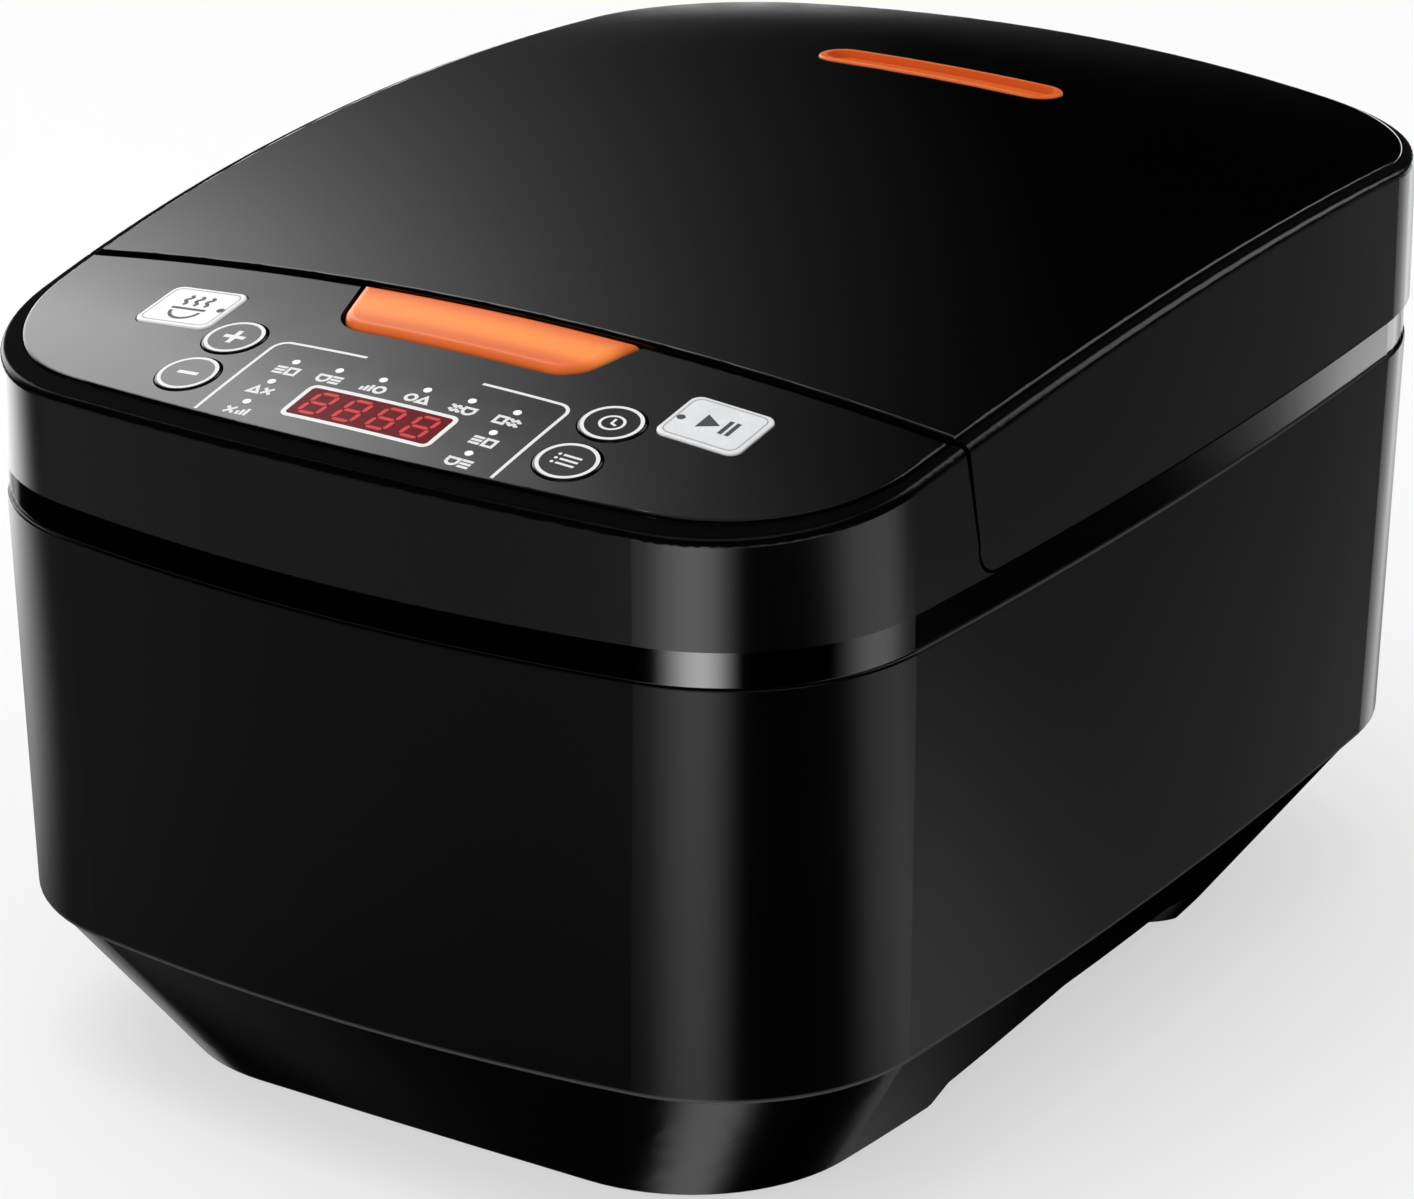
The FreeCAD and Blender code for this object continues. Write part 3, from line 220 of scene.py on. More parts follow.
class Finish:
    """One node tree, for a material or the world, and the shader that its tones feed."""

    def __init__(self, name, tree=None, **constants):
        self.material = None
        if tree is None:
            self.material = bpy.data.materials.new(name)
            self.material.use_nodes = True
            tree = self.material.node_tree
        self.tree = tree
        tree.nodes.clear()
        kind = "ShaderNodeOutputMaterial" if self.material else "ShaderNodeOutputWorld"
        self.surface = tree.nodes.new(kind)
        self.shader = None
        if self.material:
            self.shader = self.principled(**constants)
            self.show(self.shader)

    def principled(self, **constants):
        values = {label.replace("_", " "): value for label, value in constants.items()}
        return self.node("ShaderNodeBsdfPrincipled", None, values)

    def show(self, shader):
        """Makes a shader the one that is seen."""
        self.tree.links.new(shader.socket, self.surface.inputs[0])
        return self

    def node(self, kind, settings=None, values=None, out=0):
        """Any node: its settings first, then numbers, colours or links for its sockets."""
        made = self.tree.nodes.new(kind)
        for key, value in (settings or {}).items():
            setattr(made, key, value)
        for key, value in (values or {}).items():
            if isinstance(value, Tone):
                self.tree.links.new(value.socket, made.inputs[key])
            else:
                made.inputs[key].default_value = value
        return Tone(self, made.outputs[out])

    def cover(self, factor, other):
        """Lays another shader over this one by a factor."""
        return self.show(self.node("ShaderNodeMixShader", None, {0: factor, 1: self.shader, 2: other}))

    def feed(self, label, tone):
        """Links a tone to a socket of the shader."""
        self.tree.links.new(tone.socket, self.shader.socket.node.inputs[label])
        return self

    def spot(self, stretch=(1, 1, 1), shift=(0, 0, 0)):
        """Place on the piece in metres, stretched along its axes and shifted."""
        where = self.node("ShaderNodeTexCoord", out=3)
        return self.node("ShaderNodeMapping", None, {"Vector": where, "Scale": stretch, "Location": shift})

    def noise(self, size, detail=2.0, stretch=(1, 1, 1)):
        """Noise whose patches are about size metres."""
        return self.node("ShaderNodeTexNoise", None, {"Vector": self.spot(stretch), "Scale": 1 / size,
                                                      "Detail": detail})

    def cells(self, size):
        """Distance from the middle of random cells about size metres wide."""
        return self.node("ShaderNodeTexVoronoi", None, {"Vector": self.spot(), "Scale": 1 / size})

    def axis(self, name):
        """One coordinate of the place on the piece."""
        return self.node("ShaderNodeSeparateXYZ", None, {0: self.spot()}, "XYZ".index(name))

    def radius(self, y):
        """Distance from an upright axis at the given Y."""
        where = self.node("ShaderNodeVectorMath", {"operation": "MULTIPLY"},
                          {0: self.spot(shift=(0, -y, 0)), 1: (1, 1, 0)})
        return self.node("ShaderNodeVectorMath", {"operation": "LENGTH"}, {0: where}, 1)

    def colours(self, factor, first, second):
        """Colour between two others."""
        ends = [end if isinstance(end, Tone) else rgba(end) for end in (first, second)]
        return self.node("ShaderNodeMix", {"data_type": "RGBA"}, {0: factor, 6: ends[0], 7: ends[1]}, 2)

    def bump(self, height, depth, strength):
        """Relief of the given depth in metres."""
        self.feed("Normal", self.node("ShaderNodeBump", None, {"Strength": strength, "Distance": depth,
                                                               "Height": height}))
        return self


def rgba(colour):
    return tuple(colour)[:3] + (1.0,)


def shade(colour, factor):
    """The colour, lighter or darker."""
    return tuple(min(1.0, part * factor) for part in tuple(colour)[:3])


def link(obj):
    bpy.context.scene.collection.objects.link(obj)
    return obj


# Finishes

def leaning(made):
    """Turns the surface a little downwards, as on a bevelled band."""
    normal = made.node("ShaderNodeNewGeometry", out=1)
    tilted = made.node("ShaderNodeVectorMath", {"operation": "ADD"}, {0: normal, 1: (0, 0, -BAND_LEAN)})
    return made.feed("Normal", made.node("ShaderNodeVectorMath", {"operation": "NORMALIZE"}, {0: tilted}))


def moulded(name, colour, rough, specular=0.5, grain=0.0006, depth=0.000004, spread=0.04, ior=1.5,
            ledge=False, lip=None):
    """Moulded plastic: fine grain from the tool, and slow changes of sheen where it cooled.

    Without grain it is polished. A ledge is matt where it faces up, and lip is the height of the lower edge,
    just above which a thin painted highlight is laid into the colour.
    """
    made = Finish(name, Specular_IOR_Level=specular, IOR=ior)
    slow = made.noise(0.05, 3.0)
    tone = made.colours(slow, colour, shade(colour, HAZE))
    if lip is not None:
        # Painted highlight: a thin lighter line in the colour just above the lower edge
        edge = made.axis("Z").ramp(lip + LIP_HIGHLIGHT_FADE[0], lip + LIP_HIGHLIGHT_FADE[1], 1.0, 0.0)
        tone = made.colours(edge, tone, LIP_PAINTED_HIGHLIGHT)
    made.feed("Base Color", tone)
    if grain is None:
        return made.feed("Roughness", rough + (slow - 0.5) * spread)
    fine = made.noise(grain, 2.0)
    made.feed("Roughness", rough + (slow - 0.5) * spread + (fine - 0.5) * spread * 0.5)
    if ledge:
        upward = made.node("ShaderNodeSeparateXYZ", None, {0: made.node("ShaderNodeNewGeometry", out=1)}, 2)
        matt = made.principled(Base_Color=rgba(colour), Roughness=0.9, Specular_IOR_Level=0.05)
        made.cover(upward.ramp(*LEDGE_FADE), matt)
    return made.bump(fine, depth, 0.6)


def textured(name, colour, rough, grain=0.0005, depth=0.00003):
    """Matt plastic or rubber with an eroded texture and rubbed patches."""
    made = Finish(name, Specular_IOR_Level=0.3)
    cells = made.cells(grain)
    slow = made.noise(0.03, 4.0)
    made.feed("Base Color", made.colours(slow, colour, shade(colour, 1.5)))
    made.feed("Roughness", rough + (slow - 0.5) * 0.16)
    return made.bump(cells, depth, 0.7)


def brushed(name, colour, rough, stretch=(1, 30, 30)):
    """Steel with fine drawn lines and a few darker patches."""
    made = Finish(name, Metallic=1.0)
    lines = made.noise(0.004, 3.0, stretch)
    patch = made.noise(0.012, 3.0)
    made.feed("Base Color", made.colours(patch, shade(colour, 0.82), colour))
    made.feed("Roughness", rough + (lines - 0.5) * 0.22)
    return made.bump(lines, 0.00001, 0.5)


def spun(name, colour, rough, y, ring=0.0009):
    """Metal turned or drawn about an upright axis, with fine rings."""
    made = Finish(name, Metallic=0.55)
    turn = made.radius(y)
    wander = made.noise(0.01, 3.0)
    rings = made.node("ShaderNodeTexNoise", {"noise_dimensions": "1D"},
                      {"W": turn + wander * 0.0006, "Scale": 1 / ring, "Detail": 3.0})
    made.feed("Base Color", made.colours(wander, shade(colour, 0.85), colour))
    made.feed("Roughness", rough + (rings - 0.5) * 0.20)
    return made.bump(rings, 0.000012, 0.6)


def nonstick(name, colour):
    """Dark coat with pale flecks and a slight pebble."""
    made = Finish(name, Specular_IOR_Level=0.45, Coat_Weight=0.15, Coat_Roughness=0.3)
    flecks = made.cells(0.0022).ramp(0.10, 0.16, 1.0, 0.0)
    pick = made.noise(0.004, 1.0).ramp(0.52, 0.6)
    slow = made.noise(0.04, 3.0)
    made.feed("Base Color", made.colours(flecks * pick * 0.8, colour, (0.20, 0.19, 0.18)))
    made.feed("Roughness", 0.36 + (slow - 0.5) * 0.12)
    return made.bump(made.noise(0.0012, 2.0), 0.00002, 0.5)


def circuit(name, colour):
    """Board lacquer over copper tracks."""
    made = Finish(name, Specular_IOR_Level=0.5)
    black = (0, 0, 0, 1)
    tracks = made.node("ShaderNodeTexBrick", None, {
        "Vector": made.spot(), "Scale": 160.0, "Mortar Size": 0.06, "Color1": black, "Color2": black,
        "Mortar": rgba(WHITE)}, 1)
    slow = made.noise(0.02, 2.0)
    made.feed("Base Color", made.colours(tracks * 0.5, made.colours(slow, colour, shade(colour, 1.4)),
                                         (0.10, 0.26, 0.08)))
    made.feed("Roughness", 0.38 + tracks * 0.12)
    return made.bump(tracks, 0.00003, 0.5)


def pearl(name, colour):
    """Silvery lacquer on the square keys, with fine flakes."""
    made = Finish(name, Specular_IOR_Level=0.5, Coat_Weight=0.4, Coat_Roughness=0.12)
    flake = made.cells(0.00035)
    slow = made.noise(0.006, 2.0)
    made.feed("Base Color", made.colours(slow * 0.6 + flake * 0.3, shade(colour, 0.86), shade(colour, 1.12)))
    made.feed("Roughness", 0.26 + (slow - 0.5) * 0.08)
    return made.bump(flake, 0.000003, 0.4)


def glassy(name, colour):
    """Tinted window, dark behind."""
    made = Finish(name, Specular_IOR_Level=0.04)
    slow = made.noise(0.012, 2.0)
    cells = made.node("ShaderNodeTexChecker", None, {"Vector": made.spot(), "Scale": 2400.0}, 1)
    made.feed("Base Color", made.colours(slow * 0.6 + cells * 0.2, colour, shade(colour, 1.9)))
    made.feed("Roughness", 0.10 + slow * 0.05)
    return made


def lamp_plastic(name, colour, glow):
    """Milky light pipe."""
    made = Finish(name, Specular_IOR_Level=0.5, Emission_Strength=glow)
    cloud = made.noise(0.0008, 2.0)
    made.feed("Base Color", made.colours(cloud, shade(colour, 0.85), colour))
    made.feed("Emission Color", made.colours(cloud, shade(colour, 0.85), colour))
    made.feed("Roughness", 0.3 + cloud * 0.1)
    return made


def ink(name, colour, glow=0.0):
    """Screen print, faintly uneven in colour, that may glow."""
    made = Finish(name, Specular_IOR_Level=0.35, Emission_Strength=glow)
    cloud = made.noise(0.0006, 2.0)
    made.feed("Base Color", made.colours(cloud, shade(colour, 0.88), colour))
    if glow:
        made.feed("Emission Color", made.colours(cloud, shade(colour, 0.8), colour))
    made.feed("Roughness", 0.42 + (cloud - 0.5) * 0.12)
    return made.bump(cloud, 0.000004, 0.4)


def gloss_with_painted_highlight(name, colour, front, rear):
    """Glossy plastic with a painted highlight: a lighter band laid into the colour along the middle, between
    its front and rear edges.
    """
    made = Finish(name, Specular_IOR_Level=0.3)
    reach = (made.axis("Y") - front) / (rear - front)
    # Painted highlight: a lighter band across the middle of the button's top, painted into the base colour
    painted_highlight = reach.band(0.12, 0.45, 0.55, 0.92)
    slow = made.noise(0.03, 3.0)
    made.feed("Base Color", made.colours(painted_highlight, made.colours(slow, colour, shade(colour, 0.9)), CROWN_PAINTED_HIGHLIGHT))
    fine = made.noise(0.0006, 2.0)
    made.feed("Roughness", 0.3 + (slow - 0.5) * 0.06 + (fine - 0.5) * 0.03)
    return made.bump(fine, 0.000002, 0.6)


def silicone(name, colour):
    """Soft pale seal that lets a little light in."""
    made = Finish(name, Specular_IOR_Level=0.35, Subsurface_Weight=0.08, Subsurface_Scale=0.002)
    slow = made.noise(0.02, 3.0)
    fine = made.noise(0.0005, 2.0)
    made.feed("Base Color", made.colours(slow, shade(colour, 0.9), colour))
    made.feed("Roughness", 0.5 + (slow - 0.5) * 0.1)
    return made.bump(fine, 0.00001, 0.6)


def dress(slot, made):
    """Gives a finish to every solid of a material slot."""
    for part in frame["record"]["subparts"]:
        if part["material_slot"] == slot:
            mesh = NODES[part["node"]].data
            mesh.materials.clear()
            mesh.materials.append(made.material)
            mesh.polygons.foreach_set("material_index", [0] * len(mesh.polygons))


# Printed marks: flat shapes in millimetres, laid on the dome or on the top of a key

def dome_normal(x, y):
    """Direction out of the dome at a place in metres."""
    across = Vector((x, y - DOME_Y))
    return Vector((across.x, across.y, math.sqrt(DOME_R ** 2 - across.length_squared))) / DOME_R


def on_dome(x0, y0):
    """Lays a mark on the panel round the given place, in millimetres."""
    def place(u, v, height):
        normal = dome_normal((x0 + u) * MM, (y0 + v) * MM)
        return DOME_CENTRE + normal * (DOME_R + height)
    return place


def on_key(x0, y0):
    """Lays a mark on the flat top of a key."""
    normal = dome_normal(x0 * MM, y0 * MM)
    turn = Vector((0, 0, 1)).rotation_difference(normal)
    origin = DOME_CENTRE + normal * DOME_R

    def place(u, v, height):
        return origin + turn @ Vector((u * MM, v * MM, KEY_RISE * MM + height))
    return place


def arc(x, y, radius, start, end, count=8):
    """Points round a place, from one angle in degrees to another."""
    turns = [math.radians(start + (end - start) * k / count) for k in range(count + 1)]
    return [(x + radius * math.cos(turn), y + radius * math.sin(turn)) for turn in turns]


def circle(x, y, radius, count):
    return arc(x, y, radius, 0, 360, count)[:-1]


def round_corners(half_x, half_y, corner, y=0.0):
    """Oblong with round corners."""
    points = []
    for side, end, start in ((1, 1, 0), (-1, 1, 90), (-1, -1, 180), (1, -1, 270)):
        points += arc(side * (half_x - corner), y + end * (half_y - corner), corner, start, start + 90, 5)
    return points


def densify(points, closed, step=2.5):
    """Adds points along long straight runs so that a line follows the dome."""
    ends = points[1:] + points[:1] if closed else points[1:]
    dense = []
    for (x0, y0), (x1, y1) in zip(points, ends):
        count = max(1, math.ceil(math.hypot(x1 - x0, y1 - y0) / step))
        dense += [(x0 + (x1 - x0) * k / count, y0 + (y1 - y0) * k / count) for k in range(count)]
    return dense if closed else dense + [points[-1]]


class Print:
    """Raised flat marks gathered in one mesh."""

    def __init__(self, place, lift):
        self.mesh = bmesh.new()
        self.place = place
        self.lift = lift

    def pair(self, u, v):
        """Upper and lower point at a place on the mark."""
        return [self.mesh.verts.new(self.place(u, v, height)) for height in (self.lift, -PRINT_SINK)]

    def plate(self, points):
        """Filled outline, counter-clockwise."""
        pairs = [self.pair(u, v) for u, v in points]
        self.mesh.faces.new([top for top, low in pairs])
        self.mesh.faces.new([low for top, low in reversed(pairs)])
        for (top0, low0), (top1, low1) in zip(pairs, pairs[1:] + pairs[:1]):
            self.mesh.faces.new((top0, low0, low1, top1))

    def line(self, points, width, closed=False):
        """Line of even width with mitred corners; width in millimetres."""
        points = densify(points, closed)
        count = len(points)
        rows = []
        for k in range(count):
            ahead = points[(k + 1) % count] if closed or k < count - 1 else points[k]
            behind = points[k - 1] if closed or k else points[k]
            before = Vector(points[k]) - Vector(behind)
            after = Vector(ahead) - Vector(points[k])
            first = before.normalized() if before.length else after.normalized()
            second = after.normalized() if after.length else first
            middle = (first + second).normalized()
            reach = width / 2 / max(0.5, middle.dot(first))
            side = Vector((-middle.y, middle.x)) * reach
            here = Vector(points[k])
            rows.append(self.pair(*(here + side)) + self.pair(*(here - side)))
        spans = list(zip(rows, rows[1:] + rows[:1])) if closed else list(zip(rows, rows[1:]))
        for (lt0, lb0, rt0, rb0), (lt1, lb1, rt1, rb1) in spans:
            for face in ((lt0, rt0, rt1, lt1), (lb0, lb1, rb1, rb0),
                         (lt0, lt1, lb1, lb0), (rt0, rb0, rb1, rt1)):
                self.mesh.faces.new(face)
        if not closed:
            lt, lb, rt, rb = rows[0]
            self.mesh.faces.new((lt, lb, rb, rt))
            lt, lb, rt, rb = rows[-1]
            self.mesh.faces.new((lt, rt, rb, lb))

    def draw(self, lines, u, v, scale, width):
        """A mark of several lines round a place; a line that ends where it starts is closed."""
        for line in lines:
            closed = math.dist(line[0], line[-1]) < 1e-6
            points = [(u + x * scale, v + y * scale) for x, y in line]
            self.line(points[:-1] if closed else points, width, closed)

    def finish(self, name, body, made, slot):
        """Makes the piece, on its body and with its finish."""
        bmesh.ops.recalc_face_normals(self.mesh, faces=self.mesh.faces[:])
        data = bpy.data.meshes.new(name)
        self.mesh.to_mesh(data)
        self.mesh.free()
        data.materials.append(made.material)
        piece = link(bpy.data.objects.new(name, data))
        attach(piece, body)


# Small plain marks: lines in a cell about three millimetres wide

def mark_bars():
    return [[(-1.4, rise), (1.4, rise)] for rise in (-1.2, 0.0, 1.2)]


def mark_columns():
    return [[(across, -1.4), (across, top)] for across, top in ((-1.1, 0.1), (0.0, 0.8), (1.1, 1.4))]


def mark_ring():
    return [arc(0, 0, 1.25, 0, 360, 18)]


def mark_square():
    return [[(-1.2, -1.3), (1.2, -1.3), (1.2, 1.3), (-1.2, 1.3), (-1.2, -1.3)]]


def mark_waves():
    return [[(-1.5 + 0.25 * k, rise + 0.35 * math.sin(k * 1.05)) for k in range(13)] for rise in (-0.8, 0.8)]


def mark_cup():
    return [[(-1.4, 1.2)] + arc(0, 0.1, 1.4, 180, 360, 10) + [(1.4, 1.2)], [(-1.8, 1.2), (1.8, 1.2)]]


def mark_peak():
    return [[(-1.3, -1.2), (1.3, -1.2), (0, 1.3), (-1.3, -1.2)]]


def mark_cross():
    return [[(-1.2, -1.2), (1.2, 1.2)], [(-1.2, 1.2), (-0.35, 0.35)], [(0.35, -0.35), (1.2, -1.2)]]


MARKS = (mark_bars, mark_cup, mark_columns, mark_ring, mark_waves, mark_square, mark_peak, mark_cross)


class CookerOperator:
    """What every step here shares."""
    bl_options = {"REGISTER", "UNDO"}


class COOKER_OT_stage(CookerOperator, bpy.types.Operator):
    """Floor, studio light and the camera"""
    bl_idname = "cooker.stage"
    bl_label = "Stage"

    SENSOR_WIDTH = 36.0
    FLOOR_RADIUS = 14.0
    FLOOR_DROP = 0.0001
    LAMP_AIM = Vector((0, 0, 0.1))

    def execute(self, context):
        stage = context.scene.cooker_stage
        self.camera(stage)
        self.floor(stage)
        self.world(stage)
        self.lamps(stage)
        context.scene.view_settings.view_transform = "Standard"
        return {"FINISHED"}

    def camera(self, stage):
        data = bpy.data.cameras.new("photo_camera")
        data.sensor_fit = "HORIZONTAL"
        data.sensor_width = self.SENSOR_WIDTH
        data.lens = stage.lens
        data.clip_end = 100
        camera = link(bpy.data.objects.new("photo_camera", data))
        camera.location = stage.camera_at
        tilt = Euler((math.pi / 2 - stage.elevation, 0, stage.azimuth)).to_matrix()
        camera.rotation_euler = (tilt @ Matrix.Rotation(stage.roll, 3, "Z")).to_euler()
        bpy.context.scene.camera = camera

    def floor(self, stage):
        mesh = bmesh.new()
        bmesh.ops.create_circle(mesh, cap_ends=True, segments=96, radius=self.FLOOR_RADIUS)
        data = bpy.data.meshes.new("floor")
        mesh.to_mesh(data)
        mesh.free()
        floor = link(bpy.data.objects.new("floor", data))
        floor.location.z = -self.FLOOR_DROP
        made = Finish("floor_paper", Roughness=0.9, Specular_IOR_Level=0.1)
        slow = made.noise(0.4, 2.0)
        made.feed("Base Color", made.colours(slow, stage.floor, shade(stage.floor, 1.02)))
        seen = made.node("ShaderNodeLightPath", out="Is Camera Ray")
        made.cover(seen * stage.floor_white, made.node("ShaderNodeEmission", None, {"Color": rgba(WHITE)}))
        data.materials.append(made.material)
        floor.visible_glossy = False

    def world(self, stage):
        """White behind everything, soft light all round, and a dark studio with strips for reflections."""
        world = bpy.data.worlds.new("studio")
        bpy.context.scene.world = world
        world.use_nodes = True
        world.cycles.sampling_method = "NONE"
        made = Finish("studio", world.node_tree)
        seen, glossy, through = [made.node("ShaderNodeLightPath", out=label)
                                 for label in ("Is Camera Ray", "Is Glossy Ray", "Is Transmission Ray")]
        white = seen.math("MAXIMUM", seen, through)
        soft = made.node("ShaderNodeBackground", None, {"Color": rgba(stage.soft_light)})
        pale = made.node("ShaderNodeBackground", None, {"Color": rgba(WHITE)})
        strips = made.node("ShaderNodeBackground", None, {"Color": self.reflections(made)})
        plain = made.node("ShaderNodeMixShader", None, {0: white, 1: soft, 2: pale})
        whole = made.node("ShaderNodeMixShader", None, {0: glossy, 1: plain, 2: strips})
        made.show(whole)

    def reflections(self, made):
        """Brightness by direction, in three rows that blend: the floor, the walls and overhead.

        turn is the direction in degrees, from the front to the right, and up is its rise, from -1 to 1.
        """
        way = made.node("ShaderNodeTexCoord", out=0)
        x, y, up = [made.node("ShaderNodeSeparateXYZ", None, {0: way}, axis) for axis in range(3)]
        turn = x.math("ARCTAN2", x, 0 - y) * math.degrees(1)
        floor = self.floor_strips(turn, up)
        low = floor + (self.wall_strips(turn, up) - floor) * up.ramp(-0.505, -0.46)
        level = low + (self.overhead_cards(turn, up) - low) * up.ramp(-0.08, 0.02)
        return made.node("ShaderNodeCombineColor", None, {0: level, 1: level, 2: level})

    def wall_strips(self, turn, up):
        """Upright strips and pale veils that the walls of the casing reflect."""
        front = turn.band(-17, 16, 20, 43) * 2.9
        right = (turn + (up + 0.36) * 170).band(78, 100, 117, 137) * 1.15
        right_veil = turn.ramp(125, 143) * up.ramp(-0.43, -0.34, 0.17, 0.10)
        left_veil = turn.band(-85, -60, -12, 10) * 0.24
        rear = turn.ramp(165, 172, 0.0, 1.2) + turn.ramp(-179, -166, 1.2, 0.0)
        lean = turn + (up + 0.343) * 180
        left = lean.ramp(-146, -112, 0.3, 1.0) * lean.ramp(-105, -78, 1.0, 0.0)
        left = left * up.ramp(-0.44, -0.41) * up.ramp(-0.40, -0.34, 1.05, 3.3)
        return front + right + right_veil + left_veil + left + rear

    def floor_strips(self, turn, up):
        """Strips lower down, for the base and the band, which lean towards the floor."""
        front = turn.band(-13, 17, 18, 42) * 1.65
        right = turn.band(92, 122, 126, 154) * 0.37
        upright = (front + right) * up.ramp(-0.79, -0.74)
        left = turn.band(-150, -128, -120, -114) * up.ramp(-0.8, -0.72) * 0.5
        under = turn.band(-171, -150, -126, -104) * up.ramp(-0.96, -0.93, 1.0, 0.0)
        corner = turn.band(-174, -168, -160, -150) * up.band(-0.75, -0.67, -0.655, -0.632) * 0.22
        veil = turn.band(-80, -50, 100, 140) * up.ramp(-0.87, -0.8, 1.0, 0.0) * 0.25
        return upright + left + under + corner + veil

    def overhead_cards(self, turn, up):
        """A card on the left that fades across the lid, a box behind, and a soft light straight above."""
        fall = math.e ** ((turn + up * 10.5 + 126.6) / 4.5)
        card = fall.math("MINIMUM", fall, 1.0) * turn.ramp(-112, -88, 3.0, 0.0)
        card = card * up.ramp(0.8, 0.93, 1.0, 0.0) - 0.022
        box = turn.band(132, 146, 166, 176) * up.band(0.15, 0.3, 0.75, 0.9) * 1.3
        return card.math("MAXIMUM", card, 0.0) + box + up.ramp(0.82, 0.98, 0.0, 0.3)

    def lamps(self, stage):
        for name, power, size, at in (
            ("overhead_light", stage.key_power, (1.6, 1.6), (-0.5, -0.3, 2.2)),
            ("front_light", stage.fill_power, (1.2, 0.8), (-0.9, -2.2, 1.3)),
        ):
            data = bpy.data.lights.new(name, "AREA")
            data.shape = "RECTANGLE"
            data.size, data.size_y = size
            data.energy = power
            lamp = link(bpy.data.objects.new(name, data))
            lamp.location = at
            lamp.rotation_euler = (self.LAMP_AIM - lamp.location).to_track_quat("-Z", "Y").to_euler()
            lamp.visible_glossy = False


class COOKER_OT_casing(CookerOperator, bpy.types.Operator):
    """Shell, band, base, pads and the housing round the panel"""
    bl_idname = "cooker.casing"
    bl_label = "Casing"

    def execute(self, context):
        colours = context.scene.cooker_colours
        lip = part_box("outer_shell")[0].z
        # The shell gets a painted highlight along its lower lip
        dress("body_black", moulded("shell_satin", colours.shell, 0.17, 0.22, lip=lip))
        dress("casing_black", moulded("housing_satin", colours.shell, 0.17, 0.45, ledge=True))
        band = moulded("band_polish", shade(colours.shell, 0.4), 0.09, 0.8, grain=None, ior=2.2)
        dress("band_black", leaning(band))
        dress("base_black", moulded("base_satin", colours.base, 0.18, 0.3, grain=0.0005, depth=0.000005))
        dress("frame_black", textured("frame_matt", (0.005, 0.005, 0.0052), 0.55))
        dress("pad_rubber", textured("pad_rubber", (0.03, 0.03, 0.03), 0.8, 0.0008, 0.00005))
        return {"FINISHED"}


class COOKER_OT_top_sheets(CookerOperator, bpy.types.Operator):
    """Polished sheets of the lid and the control panel"""
    bl_idname = "cooker.top_sheets"
    bl_label = "Top sheets"

    def execute(self, context):
        colours = context.scene.cooker_colours
        dress("panel_gloss", moulded("sheet_gloss", colours.panel, 0.11, 0.5, depth=0.000002, spread=0.03))
        return {"FINISHED"}


class COOKER_OT_panel_print(CookerOperator, bpy.types.Operator):
    """Frame lines and the small marks below the lights"""
    bl_idname = "cooker.panel_print"
    bl_label = "Panel print"

    # Two marks stand side by side below each light
    MARK_DROP = 4.4
    MARK_SHIFT = 1.9
    MARK_SCALE = 1.12

    def execute(self, context):
        sizes = context.scene.cooker_sizes
        colours = context.scene.cooker_colours
        made = ink("print_white", colours.print_white)
        sheet = Print(on_dome(0, 0), sizes.print_lift)
        for side in (-1, 1):
            bend = arc(FRAME_HALF - FRAME_CORNER, FRAME_REAR - FRAME_CORNER, FRAME_CORNER, 90, 0)
            line = [(FRAME_GAP, FRAME_REAR)] + bend + [(FRAME_HALF, FRAME_FRONT)]
            sheet.line([(side * x, y) for x, y in line], sizes.frame_line / MM)
        outline = round_corners(DISPLAY_HALF_X, DISPLAY_HALF_Y, DISPLAY_CORNER, DISPLAY_Y)
        sheet.line(outline, sizes.display_line / MM, True)
        sheet.finish("panel_print", "body", made, "light_white")
        sheet = Print(on_dome(0, 0), sizes.print_lift)
        for k, (x, y) in enumerate(LIGHT_ROW + LIGHT_COLUMNS):
            for pick, shift in ((k, -self.MARK_SHIFT), (3 * k + 5, self.MARK_SHIFT)):
                sheet.draw(MARKS[pick % len(MARKS)](), x + shift, y - self.MARK_DROP, self.MARK_SCALE,
                           sizes.mark_stroke / MM)
        grey = ink("mark_grey", shade(colours.print_white, 0.95))
        sheet.finish("indicator_marks", "body", grey, "light_white")
        return {"FINISHED"}


class COOKER_OT_display(CookerOperator, bpy.types.Operator):
    """Display window with its digits, and the light pipes"""
    bl_idname = "cooker.display"
    bl_label = "Display"

    # Place of each segment across and up in a digit's cell, and whether it stands upright
    SEGMENTS = ((0, 1, False), (0.5, 0.5, True), (0.5, -0.5, True), (0, -1, False), (-0.5, -0.5, True),
                (-0.5, 0.5, True), (0, 0, False))
    SEGMENT_GAP = 0.35
    DIGIT_COUNT = 4
    DIGIT_PITCH = 10.2
    DIGIT_LIFT = 0.00004
    # Shares of a digit's height
    WIDTH = 0.60
    STROKE = 0.13
    SLANT = 0.10

    def execute(self, context):
        sizes = context.scene.cooker_sizes
        colours = context.scene.cooker_colours
        dress("display_red", glassy("window_red", colours.display))
        dress("light_white", lamp_plastic("light_pipe", (0.85, 0.85, 0.85), 0.15))
        dress("module_black", textured("module_black", (0.02, 0.01, 0.01), 0.6))
        sheet = Print(on_dome(0, DISPLAY_Y), self.DIGIT_LIFT)
        for k in range(self.DIGIT_COUNT):
            self.digit(sheet, (k - (self.DIGIT_COUNT - 1) / 2) * self.DIGIT_PITCH, sizes.digit_height / MM)
        sheet.finish("display_digits", "body", ink("digit_red", colours.digits, 0.30), "display_red")
        return {"FINISHED"}

    def digit(self, sheet, at, high):
        """All segments of one digit, whose middle is at the given place across the window."""
        wide = high * self.WIDTH
        half = high * self.STROKE / 2
        for across, up, upright in self.SEGMENTS:
            run = (high / 2 if upright else wide) / 2 - self.SEGMENT_GAP
            shape = [(-run, 0), (half - run, -half), (run - half, -half), (run, 0), (run - half, half),
                     (half - run, half)]
            if upright:
                shape = [(-y, x) for x, y in shape]
            points = [(across * wide + x, up * high / 2 + y) for x, y in shape]
            sheet.plate([(at + x + y * self.SLANT, y) for x, y in points])


